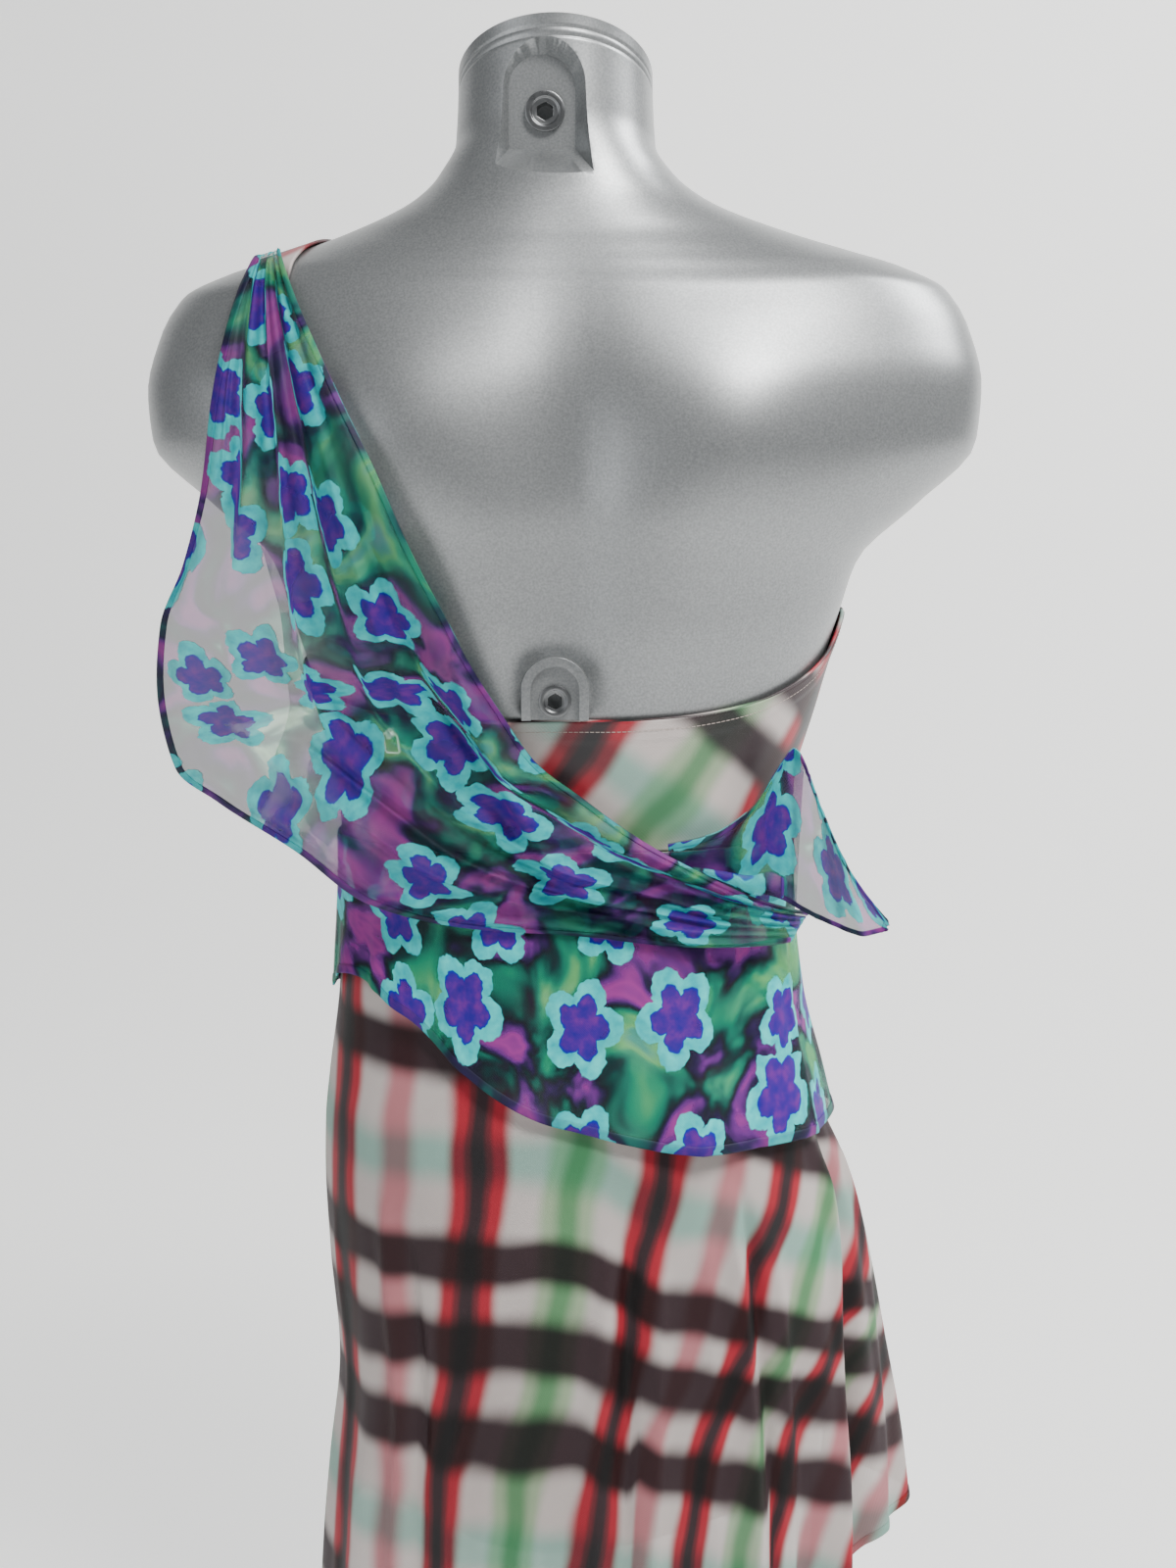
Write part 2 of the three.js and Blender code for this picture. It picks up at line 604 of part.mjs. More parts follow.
function shoulderStrap() {
  const edgeY = (x, sign) => {
    const s = formSection(STRAP_FROM + SEAM);
    const depth = sign < 0 ? s.back : s.front;
    return s.mid + sign * depth * (1 - Math.abs(x / s.left) ** s.power) ** (1 / s.power);
  };
  return wall((u, v, face) => {
    const widening = ease(v / 0.8);
    const inner = STRAP_BACK_INNER + (STRAP_INNER - STRAP_BACK_INNER) * widening;
    const outer = STRAP_BACK_OUTER + (STRAP_OUTER - STRAP_BACK_OUTER) * widening;
    const x = outer + (inner - outer) * u;
    const y = edgeY(x, -1) + (edgeY(x, 1) - edgeY(x, -1)) * v;
    const z = shoulderTop(x, y);
    const step = 1;
    const slopeX = (shoulderTop(x + step, y) - shoulderTop(x - step, y)) / (2 * step);
    const slopeY = (shoulderTop(x, y + step) - shoulderTop(x, y - step)) / (2 * step);
    const length = Math.hypot(slopeX, slopeY, 1);
    const clear = STRAP_CLEAR + (BODICE_CLEAR - STRAP_CLEAR) * ease((v - 0.75) / 0.25);
    const out = clear + face * BODICE_CLOTH;
    return [x - (out * slopeX) / length, y - (out * slopeY) / length, z + out / length];
  }, 6, 14);
}

// ---- skirt, lining and peplum -------------------------------------------------------
function tubePanel(table, folds, edge, top, from, to, columns, rows, thick) {
  const closed = to - from >= 360;
  const gap = closed ? 0 : SIDE_GAP;
  return wall((u, v, face) => {
    const direction = from + gap + u * (to - from - 2 * gap);
    const hem = read(edge, 'z', direction, 'at');
    const z = hem + (top - hem) * v ** 0.9;
    const out = foldAt(folds, direction, z, hem) + face * thick;
    return onSection(tableSection(table, z), direction, z, out);
  }, columns, rows, closed);
}

// ---- chiffon drape and flounce ------------------------------------------------------
function drapeHeight(across, along) {
  let out = 0;
  for (const f of DRAPE_FOLDS) {
    const first = f.start + (f.middle - f.start) * ease(along / 0.5);
    const high = along < 0.5 ? first : f.middle + (f.end - f.middle) * ease(along * 2 - 1);
    out += high * bell(across - f.at, f.wide);
  }
  return out * ease((1 - along) / 0.06 + 0.3);
}

function freeCloth(x, z, left, right, clear, out) {
  const form = formSection(z);
  const section = {
    left: left + out,
    right: right + out,
    back: form.back + clear + out,
    front: form.front,
    mid: form.mid,
    power: form.power,
  };
  const half = x < 0 ? section.left : section.right;
  const direction = directionOf(x, half, section.power);
  return withRelief(onSection(section, direction, z), section.mid);
}

function drape() {
  return wall((u, v, face) => {
    const across = 1 - u;
    const along = 1 - v;
    const at = (column) => read(DRAPE, column, along, 'along');
    const x = at('innerX') + (at('outerX') - at('innerX')) * across;
    const z = at('innerZ') + (at('outerZ') - at('innerZ')) * across;
    const left = read(DRAPE_SECTION, 'left', z);
    const right = read(DRAPE_SECTION, 'right', z);
    const clear = read(DRAPE_SECTION, 'clear', z);
    return freeCloth(x, z, left, right, clear, drapeHeight(across, along) + face * CLOTH);
  }, 20, 24);
}

function flounceRight() {
  return wall((u, v, face) => {
    const at = (column) => read(FLOUNCE, column, u, 'along');
    const x = at('lowX') + (at('highX') - at('lowX')) * v;
    const z = at('lowZ') + (at('highZ') - at('lowZ')) * v;
    const past = Math.max(0, u - RIPPLE.from);
    const ripple = RIPPLE.high * (1 - Math.cos(past * RIPPLE.rate)) * ease(past / 0.2);
    return freeCloth(x, z, 200, at('right'), at('clear'), ripple + face * CLOTH);
  }, 16, 6);
}

function drapeTail() {
  return wall((u, v, face) => {
    const low = read(TAIL, 'lowZ', u, 'along');
    const z = low + (read(TAIL, 'highZ', u, 'along') - low) * v;
    const swell = TAIL_SWELL * Math.sin(Math.PI * v) * ease(u * 2);
    return freeCloth(read(TAIL, 'x', u, 'along'), z, 200, TAIL_RIGHT, TAIL_CLEAR, swell + face * CLOTH);
  }, 12, 4);
}

// ---- zip slider and its pull --------------------------------------------------------
const ZIP = { x: -83, z: 633 }; // on the bodice's back, left of the middle
const SLIDER = { width: 3, long: 9, high: 4.4, plate: 1.2, hole: 2 };
const PULL = { wide: 9, long: 11, wire: 1.1, thick: 1.0 };

// Both pieces are drawn with X along the cloth, Y out of it and Z up.
function zipSlider() {
  const shape = new THREE.Shape();
  const half = SLIDER.long / 2;
  shape.moveTo(0, -half);
  shape.lineTo(SLIDER.plate, -half);
  shape.lineTo(SLIDER.high, -2.4);
  shape.lineTo(SLIDER.high, 2.2);
  shape.lineTo(SLIDER.plate + 0.6, half);
  shape.lineTo(0, half);
  const hole = new THREE.Path();
  const low = SLIDER.plate;
  const high = SLIDER.plate + SLIDER.hole;
  hole.moveTo(low, -SLIDER.hole / 2);
  hole.lineTo(low, SLIDER.hole / 2);
  hole.lineTo(high, SLIDER.hole / 2);
  hole.lineTo(high, -SLIDER.hole / 2);
  shape.holes.push(hole);
  const geometry = new THREE.ExtrudeGeometry(shape, { depth: SLIDER.width, bevelEnabled: false });
  geometry.translate(0, 0, -SLIDER.width / 2);
  const outAlongY = new THREE.Matrix4().set(0, 0, 1, 0, 1, 0, 0, 0, 0, 1, 0, 0, 0, 0, 0, 1);
  return geometry.applyMatrix4(outAlongY);
}

function zipPull() {
  const half = PULL.wide / 2;
  const shape = new THREE.Shape();
  shape.moveTo(-half, -PULL.long);
  shape.lineTo(half, -PULL.long);
  shape.lineTo(half, 0);
  shape.lineTo(-half, 0);
  const hole = new THREE.Path();
  const inner = half - PULL.wire;
  hole.moveTo(-inner, PULL.wire - PULL.long);
  hole.lineTo(-inner, -PULL.wire);
  hole.lineTo(inner, -PULL.wire);
  hole.lineTo(inner, PULL.wire - PULL.long);
  shape.holes.push(hole);
  const geometry = new THREE.ExtrudeGeometry(shape, { depth: PULL.thick, bevelEnabled: false });
  geometry.translate(0, PULL.wire / 2, -PULL.thick / 2);
  geometry.rotateX(Math.PI / 2);
  return geometry.translate(0, SLIDER.plate + SLIDER.hole / 2, 0);
}

// The frame that the zip pieces stand in: out of the bodice, level along it, and up.
function zipFrame() {
  const clear = BODICE_CLEAR + BODICE_CLOTH + SEAM;
  const at = (dx, dz) => {
    const z = ZIP.z + dz;
    const section = formSection(z, clear);
    const direction = directionOf(ZIP.x + dx, section.left, section.power);
    return new THREE.Vector3(...onForm(direction, z, clear));
  };
  const level = at(2, 0).sub(at(-2, 0));
  const rise = at(0, 5).sub(at(0, -5));
  const out = level.clone().cross(rise).normalize();
  const along = out.clone().cross(new THREE.Vector3(0, 0, 1)).normalize();
  const up = along.clone().cross(out);
  const middle = at(0, 0).addScaledVector(out, SEAM);
  return new THREE.Matrix4().makeBasis(along, out, up).setPosition(middle);
}

// ---- materials ----------------------------------------------------------------------
const finish = (color, roughness, metalness = 0) =>
  new THREE.MeshStandardMaterial({ color, roughness, metalness });
const SILVER = () => finish(0x96989a, 0.35, 0.6);
const STEEL = () => finish(0xb4b6b8, 0.3, 0.9);
const PLAID = () => finish(0xb9a8a0, 0.7);
const SHEER_PLAID = () => finish(0xa89c98, 0.65);
const LINING_CLOTH = () => finish(0xd8cfc8, 0.7);
const CHIFFON = () => finish(0x2f7f7c, 0.6);

// ---- assembly -----------------------------------------------------------------------
const dress = new THREE.Group();
function add(name, geometry, material) {
  const mesh = new THREE.Mesh(geometry, material);
  mesh.name = name;
  dress.add(mesh);
  return mesh;
}

add('form_torso', formTorso(), SILVER());
add('neck_socket', hexInsert(RECESS.x + 1.5, RECESS.floor, 927.5, 9.5, 4.4, 2.4), STEEL());
add('back_socket', hexInsert(BOSS.x, BOSS.face + 4, 650, 7.6, 3.8, 2.4), STEEL());
add('stand_pole', standPole(), STEEL());
add('pole_collar', poleCollar(), STEEL());
add('base_plate', basePlate(), SILVER());

add('bodice_back', bodiceBack(), PLAID());
add('bodice_front', bodiceFront(), PLAID());
add('shoulder_strap', shoulderStrap(), PLAID());
add('lining', tubePanel(LINING, LINING_FOLDS, LINING_EDGE, WAIST, -90, 270, 40, 7, 1), LINING_CLOTH());
const skirt = (from, to) => tubePanel(SKIRT, SKIRT_FOLDS, SKIRT_EDGE, WAIST, from, to, 36, 11, CLOTH);
add('skirt_back', skirt(-90, 90), SHEER_PLAID());
add('skirt_front', skirt(90, 270), SHEER_PLAID());
const peplum = (from, to) =>
  tubePanel(PEPLUM, PEPLUM_FOLDS, PEPLUM_EDGE, WAIST, from, to, 26, 6, CLOTH);
add('peplum_back', peplum(-90, 90), CHIFFON());
add('peplum_front', peplum(90, 270), CHIFFON());
add('drape', drape(), CHIFFON());
add('flounce_right', flounceRight(), CHIFFON());
add('drape_tail', drapeTail(), CHIFFON());

const zip = new THREE.Group();
zip.applyMatrix4(zipFrame());
dress.add(zip);
zip.add(add('zip_slider', zipSlider(), STEEL()));
zip.add(add('zip_pull', zipPull(), STEEL()));

export default dress;
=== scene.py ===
import math
from contextlib import contextmanager
from functools import partial

import bpy
import numpy as np
from mathutils import Matrix, Vector


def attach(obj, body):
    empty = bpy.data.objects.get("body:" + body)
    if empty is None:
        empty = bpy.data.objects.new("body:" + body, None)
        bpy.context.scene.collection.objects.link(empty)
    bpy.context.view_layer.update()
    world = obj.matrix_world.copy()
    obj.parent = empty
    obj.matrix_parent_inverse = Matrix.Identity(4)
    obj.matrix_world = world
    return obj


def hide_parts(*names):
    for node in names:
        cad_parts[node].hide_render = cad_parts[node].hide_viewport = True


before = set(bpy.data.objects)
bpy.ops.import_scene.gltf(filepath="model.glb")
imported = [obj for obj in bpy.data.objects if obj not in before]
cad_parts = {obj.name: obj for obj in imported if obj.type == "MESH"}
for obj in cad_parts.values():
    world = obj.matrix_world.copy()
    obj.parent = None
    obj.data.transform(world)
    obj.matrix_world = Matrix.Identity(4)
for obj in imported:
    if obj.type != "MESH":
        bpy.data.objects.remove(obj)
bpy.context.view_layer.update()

MM = 0.001

# ---- Room, light and camera ---------------------------------------------------------
# A seamless pale sweep of floor and wall, one large soft window light high at the right, a
# weaker fill from the left and a light on the wall, seen from behind at shoulder height.
CAMERA_AT, CAMERA_DOWN = (11.5, -1012, 740), 8  # degrees below level
LENS, SENSOR = 45, 36
WALL_BEHIND, SWEEP_RADIUS = 2800, 1500
ROOM_HALF, ROOM_HIGH = 5000, 6000


def shader_of(material):
    return material.node_tree.nodes["Principled BSDF"]


def plain_material(name, color, roughness=0.6, metallic=0.0, slot=None, **more):
    """A material; further settings of its shader are given by name, _ for a space."""
    material = bpy.data.materials.new(name)
    material.use_nodes = True
    settings = {"Base Color": (*color, 1), "Roughness": roughness, "Metallic": metallic, **more}
    for setting, value in settings.items():
        shader_of(material).inputs[setting.replace("_", " ")].default_value = value
    return material


def metres(place):
    return [value * MM for value in place]


def add_object(name, data, at=(0, 0, 0)):
    made = bpy.data.objects.new(name, data)
    made.location = metres(at)
    bpy.context.scene.collection.objects.link(made)
    return made


def new_object(name, points, faces):
    mesh = bpy.data.meshes.new(name)
    mesh.from_pydata((np.asarray(points) * MM).tolist(), [], faces)
    return add_object(name, mesh)


camera = add_object("camera", bpy.data.cameras.new("camera"), CAMERA_AT)
camera.data.lens, camera.data.sensor_width = LENS, SENSOR
camera.rotation_euler = (math.radians(90 - CAMERA_DOWN), 0, 0)
bpy.context.scene.camera = camera

wall_paint = plain_material("wall_paint", (0.86, 0.86, 0.85), 0.9,
                            Emission_Color=(1, 1, 0.99, 1), Emission_Strength=0.43)
profile = [(-ROOM_HALF, 0), (WALL_BEHIND - SWEEP_RADIUS - 1, 0)]
profile += [(WALL_BEHIND - SWEEP_RADIUS * (1 - math.sin(t)), SWEEP_RADIUS * (1 - math.cos(t)))
            for t in np.radians(np.linspace(0, 90, 33))]
profile += [(WALL_BEHIND, SWEEP_RADIUS + 1), (WALL_BEHIND, ROOM_HIGH)]
backdrop = new_object("backdrop", [(x, y, z) for y, z in profile for x in (-ROOM_HALF, ROOM_HALF)],
                      [(2 * i, 2 * i + 1, 2 * i + 3, 2 * i + 2) for i in range(len(profile) - 1)])
backdrop.data.shade_smooth()
backdrop.data.materials.append(wall_paint)


def soft_light(name, at, target, size, power, color=(1, 1, 1)):
    lamp = add_object(name, bpy.data.lights.new(name, "AREA"), at)
    lamp.data.energy, lamp.data.size, lamp.data.color = power, size * MM, color
    aim = (Vector(target) - Vector(at)).normalized()
    lamp.rotation_euler = aim.to_track_quat("-Z", "Y").to_euler()


soft_light("window_light", (700, -1050, 2050), (0, 0, 650), 560, 36, (1.0, 0.99, 0.97))
soft_light("ceiling_light", (350, -1000, 2200), (0, 0, 800), 380, 5)
soft_light("fill_light", (-1300, -1300, 900), (0, 0, 600), 1000, 9, (0.96, 0.98, 1.0))
soft_light("wall_light", (2200, 300, 2600), (0, 2800, 900), 1400, 135)
world = bpy.data.worlds.new("studio")
world.use_nodes = True
world.node_tree.nodes["Background"].inputs["Color"].default_value = (0.9, 0.93, 0.96, 1)
world.node_tree.nodes["Background"].inputs["Strength"].default_value = 0.2
bpy.context.scene.world = world

# ---- Dress form ---------------------------------------------------------------------
# A limbless torso moulded in satin silver plastic: level sections lofted from the hips to
# a slanted neck rim, with a pocket cut in the neck and a boss on the lower back.
FORM_BOTTOM, NECK_TOP, SLANT_START, NECK_SLANT = 245, 950.5, 861, 0.45
NECK_SHIFT, RIGHT_LIFT = -4.5, 4  # how the neck and the right shoulder stand
RING_LINES, RING_DEEP, RING_WIDE = (6, 9.5), 0.45, 0.7  # fine lines below the neck rim
FORM_SIDES = 160


def table(columns, *rows):
    return dict(zip(columns.split(), np.array(rows, float).T))


FORM = table(
    "z half back front mid power",
    (245, 102, 82, 70, 0, 2.3), (300, 110, 96, 82, 0, 2.3), (358, 119, 107, 92, 0, 2.3),
    (400, 122, 111, 95, 0, 2.3), (440, 121, 105, 95, 0, 2.3), (493, 114, 88, 90, 0, 2.3),
    (545, 111, 76, 86, 0, 2.3), (598, 115, 76, 91, 0, 2.3), (649, 128, 84, 97, 0, 2.3),
    (690, 140, 90, 101, -2, 2.35), (715, 148, 91, 101, -5, 2.4), (742, 176, 90, 97, -10, 2.4),
    (772, 205, 87, 90, -12, 2.4), (796, 207, 83, 82, -13, 2.4), (824, 200, 74, 71, -14, 2.3),
    (843, 188, 66, 61, -14, 2.3), (853, 168, 62, 56, -13, 2.25), (861, 143, 58, 53, -13, 2.2),
    (872, 111, 53, 49, -12, 2.15), (888, 74, 49, 47, -9, 2.1), (899, 60, 48, 46, -7, 2.05),
    (916, 49.5, 47, 45, -5, 2), (950.5, 48, 46, 44, -3, 2))
RELIEF = table(
    "x z across up out side",
    (-72, 672, 46, 42, 17, 1),  # bust
    (72, 672, 46, 42, 17, 1),
    (-80, 772, 44, 50, 10, -1),  # shoulder blades
    (80, 772, 44, 50, 10, -1),
    (-46, 690, 24, 70, 3, -1),  # beside the spine
    (46, 690, 24, 70, 3, -1),
    (0, 705, 22, 110, -8, -1),  # spine
)
BOSS_X, BOSS_LOW, BOSS_HIGH, BOSS_FACE, BOSS_HALF, BOSS_DEEP = -4, 641, 671, -94, 16, 26
DISH_RIM, DISH_DEEP, TOOL_SPARE = 4.5, 4, 5
POCKET_X, POCKET_MIDDLE, POCKET_FLOOR, POCKET_FROM = -10.5, 932, -41, -90
POCKET_MOUTH_HALF, POCKET_MOUTH_HIGH, POCKET_TAPER = 47, 128, 0.34  # 49 mm before its floor
INSERTS = {"neck": (POCKET_X + 1.5, POCKET_FLOOR, 927.5, 9.5, 4.4),
           "back": (BOSS_X, BOSS_FACE + DISH_DEEP, 650, 7.6, 3.8)}  # x, wall, z, radius, hexagon


def read(rows, column, place, key="z"):
    """A column of a table at any place, on a smooth curve through its rows."""
    keys, values = rows[key], rows[column]
    rise = np.diff(values) / np.diff(keys)
    slope = np.zeros(len(keys))
    same = rise[:-1] * rise[1:] > 0
    slope[1:-1][same] = (2 * rise[:-1] * rise[1:])[same] / (rise[:-1] + rise[1:])[same]
    place = np.clip(place, keys[0], keys[-1])
    i = np.clip(np.searchsorted(keys, place, side="right") - 1, 0, len(keys) - 2)
    gap = keys[i + 1] - keys[i]
    t = (place - keys[i]) / gap
    bend = slope[i] * t * (1 - t) ** 2 - slope[i + 1] * t * t * (1 - t)
    return values[i] + (values[i + 1] - values[i]) * t * t * (3 - 2 * t) + gap * bend


def read_all(rows, columns, place, key="z"):
    return [read(rows, column, place, key) for column in columns.split()]


def ease(t):
    t = np.clip(t, 0, 1)
    return t * t * (3 - 2 * t)


def bell(distance, reach):
    return np.exp(-((distance / reach) ** 2))


def on_section(left, right, back, front, mid, power, direction, z):
    """Points of level sections; direction in degrees from the back middle towards +X."""
    s, c = np.sin(np.radians(direction)), np.cos(np.radians(direction))
    half = np.where(s < 0, left, right)
    depth = np.where(c > 0, back, front)
    x = half * np.sign(s) * np.abs(s) ** (2 / power)
    y = mid - depth * np.sign(c) * np.abs(c) ** (2 / power)
    return np.stack([x, y, z + 0 * x], -1)


def with_relief(points, middle):
    x, y, z = points[..., 0], points[..., 1], points[..., 2]
    side = np.where(y < middle, -1, 1)
    out = np.zeros_like(x)
    for rx, rz, across, up, rise, at_side in zip(*RELIEF.values()):
        out += np.where(side == at_side, rise * bell(x - rx, across) * bell(z - rz, up), 0)
    raised = points.copy()
    raised[..., 1] += side * out * ease(np.abs(y - middle) / 40)
    return raised


def on_form(direction, z, clear=0.0):
    half, back, front, mid, power = read_all(FORM, "half back front mid power", z)
    points = on_section(half + clear, half + clear, back + clear, front + clear, mid, power,
                        direction, z)
    return with_relief(points, mid)


def ring_faces(rings, sides):
    """Faces of a closed loft: its rings are joined in turn and each end has one face."""
    ring = np.arange(sides)
    start, onward = np.arange(rings - 1)[:, None] * sides, (ring + 1) % sides
    quads = np.stack([start + ring, start + onward, start + sides + onward,
                      start + sides + ring], -1)
    return quads.reshape(-1, 4).tolist() + [ring[::-1].tolist(), ((rings - 1) * sides + ring).tolist()]


def make_active(piece):
    bpy.ops.object.select_all(action="DESELECT")
    piece.select_set(True)
    bpy.context.view_layer.objects.active = piece


def apply_modifier(piece, kind, **settings):
    make_active(piece)
    modifier = piece.modifiers.new(kind.lower(), kind)
    for name, value in settings.items():
        setattr(modifier, name, value)
    bpy.ops.object.modifier_apply(modifier=modifier.name)


def bevel(piece, width, segments, degrees=35):
    apply_modifier(piece, "BEVEL", width=width * MM, segments=segments, limit_method="ANGLE",
                   angle_limit=math.radians(degrees))


def use_boolean(piece, tool, operation="DIFFERENCE"):
    apply_modifier(piece, "BOOLEAN", object=tool, operation=operation, solver="EXACT")
    bpy.data.objects.remove(tool)


def smooth(piece, degrees):
    make_active(piece)
    bpy.ops.object.shade_smooth_by_angle(angle=math.radians(degrees))


def finish(piece, material, replaces=None, body="root"):
    """Gives a piece its material and body, and hides the solid that it stands for."""
    piece.data.materials.append(material)
    if replaces:
        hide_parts(replaces)
    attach(piece, body)
    return piece


def bake_place():
    bpy.ops.object.transform_apply(location=True, rotation=True, scale=True)
    return bpy.context.object


@contextmanager
def editing(select=True):
    """Works on the active mesh in edit mode, with all of it selected at first."""
    bpy.ops.object.mode_set(mode="EDIT")
    if select:
        bpy.ops.mesh.select_all(action="SELECT")
    yield
    bpy.ops.object.mode_set(mode="OBJECT")


def cylinder(radius, depth, at, vertices=64, along_y=True):
    bpy.ops.mesh.primitive_cylinder_add(
        vertices=vertices, radius=radius * MM, depth=depth * MM, location=metres(at),
        rotation=(math.radians(90 if along_y else 0), 0, 0))
    return bpy.context.object


def arch_block(x, half, low, high, from_y, to_y, far_scale=1.0):
    """A block with a level foot and a round head, along Y: a disc with its lower half drawn
    down to the foot, then extruded to a far end of another size."""
    middle = (high - half) * MM
    bpy.ops.mesh.primitive_circle_add(vertices=64, radius=half * MM, fill_type="NGON",
                                      location=(x * MM, from_y * MM, middle),
                                      rotation=(math.radians(90), 0, 0))
    block = bake_place()
    for vertex in block.data.vertices:
        vertex.select = vertex.co.z < middle - 1e-6
    for element in (*block.data.edges, *block.data.polygons):
        element.select = False
    with editing(select=False):
        bpy.ops.mesh.select_mode(type="VERT")
        bpy.ops.transform.resize(value=(1, 1, 0), center_override=(x * MM, from_y * MM, low * MM))
        bpy.ops.mesh.select_all(action="SELECT")
        bpy.ops.mesh.extrude_region_move(
            TRANSFORM_OT_translate={"value": (0, (to_y - from_y) * MM, 0)})
        bpy.ops.transform.resize(value=(far_scale, 1, far_scale),
                                 center_override=(x * MM, to_y * MM, (low + high) / 2 * MM))
        bpy.ops.mesh.select_all(action="SELECT")
        bpy.ops.mesh.normals_make_consistent(inside=False)
    return block


def form_shell():
    z = np.concatenate([np.linspace(FORM_BOTTOM, 840, 90), np.linspace(840, 930, 46)[1:],
                        np.linspace(930, NECK_TOP, 52)[1:]])
    direction = np.arange(FORM_SIDES) * 360 / FORM_SIDES
    ring_lines = -RING_DEEP * sum(bell(z - (NECK_TOP - down), RING_WIDE) for down in RING_LINES)
    points = on_form(direction[None, :], z[:, None], ring_lines[:, None])
    slant = NECK_SLANT * ease((z - SLANT_START) / (NECK_TOP - SLANT_START))
    points[..., 2] -= slant[:, None] * (points[..., 1] - read(FORM, "mid", z)[:, None])
    lift = ease((points[..., 0] - 60) / 100) * ease((z - 750) / 60)[:, None]
    points[..., 2] += RIGHT_LIFT * lift
    points[..., 0] += NECK_SHIFT * ease((z - SLANT_START - 9) / 40)[:, None]
    return new_object("form_shell", points.reshape(-1, 3), ring_faces(len(z), FORM_SIDES))


form = form_shell()
use_boolean(form, arch_block(POCKET_X, POCKET_MOUTH_HALF, POCKET_MIDDLE - POCKET_MOUTH_HIGH / 2,
                             POCKET_MIDDLE + POCKET_MOUTH_HIGH / 2, POCKET_FROM, POCKET_FLOOR,
                             POCKET_TAPER))
boss = arch_block(BOSS_X, BOSS_HALF, BOSS_LOW, BOSS_HIGH, BOSS_FACE, BOSS_FACE + BOSS_DEEP)
bevel(boss, 5, 6)
use_boolean(form, boss, "UNION")
use_boolean(form, arch_block(BOSS_X, BOSS_HALF - DISH_RIM, BOSS_LOW - 1, BOSS_HIGH - DISH_RIM,
                             BOSS_FACE - TOOL_SPARE, BOSS_FACE + DISH_DEEP))
for x, wall_y, z, radius, hex_radius in INSERTS.values():
    use_boolean(form, cylinder(hex_radius + 0.6, 24, (x, wall_y, z), 24))
bevel(form, 2.2, 4)
smooth(form, 40)


def node(material, kind, **inputs):
    """A shader node with its inputs linked to sockets or set to values, by name or number."""
    made = material.node_tree.nodes.new(kind)
    for key, value in inputs.items():
        name = int(key[2:]) if key.startswith("in") and key[2:].isdigit() else key.replace("_", " ")
        socket = made.inputs[name]
        if isinstance(value, bpy.types.NodeSocket):
            material.node_tree.links.new(value, socket)
        else:
            socket.default_value = value
    return made


def math_node(material, operation, *values, kind="ShaderNodeMath"):
    made = node(material, kind, **{f"in{i}": v for i, v in enumerate(values)})
    made.operation = operation
    return made.outputs[0]


def link(material, source, shader_input):
    material.node_tree.links.new(source, shader_of(material).inputs[shader_input])


def noise(material, at, scale, detail=2.0, output="Fac", **more):
    return node(material, "ShaderNodeTexNoise", Vector=at, Scale=scale, Detail=detail,
                **more).outputs[output]


def object_at(material):
    return node(material, "ShaderNodeTexCoord").outputs["Object"]


def hazed(material, scale, detail, gain, least):
    """Lets the roughness drift from place to place."""
    haze = noise(material, object_at(material), scale, detail)
    link(material, math_node(material, "MULTIPLY_ADD", haze, gain, least), "Roughness")


def bump(material, height, strength, distance):
    link(material, node(material, "ShaderNodeBump", Height=height, Strength=strength,
                        Distance=distance).outputs["Normal"], "Normal")


def ramp(material, source, stops, interpolation="LINEAR"):
    made = node(material, "ShaderNodeValToRGB", Fac=source)
    made.color_ramp.interpolation = interpolation
    elements = made.color_ramp.elements
    elements[0].position, elements[0].color = stops[0][0], (*stops[0][1], 1)
    elements[1].position, elements[1].color = stops[-1][0], (*stops[-1][1], 1)
    for position, color in stops[1:-1]:
        elements.new(position).color = (*color, 1)
    return made.outputs["Color"]


silver_plastic = plain_material("silver_plastic", (0.29, 0.3, 0.305), 0.4, 0.72, "form_plastic",
                                Coat_Weight=0.15, Coat_Roughness=0.3)
flake = noise(silver_plastic, object_at(silver_plastic), 900.0)
link(silver_plastic, ramp(silver_plastic, flake, [(0.3, (0.245, 0.255, 0.26)),
                                                  (0.7, (0.335, 0.345, 0.35))]), "Base Color")
hazed(silver_plastic, 6.0, 3.0, 0.08, 0.34)
bump(silver_plastic, flake, 0.04, 0.0004)
finish(form, silver_plastic, "form_torso")

# ---- Threaded inserts ---------------------------------------------------------------
# Zinc-plated steel rings with a hexagonal socket, pressed into the neck pocket and into
# the lower boss, where the maker's bracket or a hanging arm is screwed in.
INSERT_DEEP, INSERT_GAP = 2.4, 0.3


def hex_insert(name, x, wall_y, z, radius, hex_radius):
    cylinder(radius, INSERT_DEEP, (x, wall_y - INSERT_DEEP / 2 - INSERT_GAP, z))
    insert = bake_place()
    insert.name = name
    with editing():
        bpy.ops.mesh.select_all(action="DESELECT")
    for face in insert.data.polygons:
        face.select = face.normal.y < -0.9
    with editing(select=False):
        bpy.ops.mesh.select_mode(type="FACE")
        bpy.ops.mesh.inset(thickness=radius * 0.28 * MM, depth=0)
        bpy.ops.mesh.inset(thickness=radius * 0.06 * MM, depth=-0.7 * MM)
    cylinder(hex_radius, 4 * INSERT_DEEP, (x, wall_y - INSERT_DEEP - INSERT_GAP, z), 6)
    use_boolean(insert, bake_place())
    bevel(insert, 0.35, 2)
    smooth(insert, 35)
    return insert


zinc = plain_material("zinc", (0.2, 0.205, 0.21), 0.3, 0.95, "insert_metal")
hazed(zinc, 350.0, 4.0, 0.25, 0.18)
for place, values in INSERTS.items():
    finish(hex_insert(f"{place}_insert", *values), zinc, f"{place}_socket")

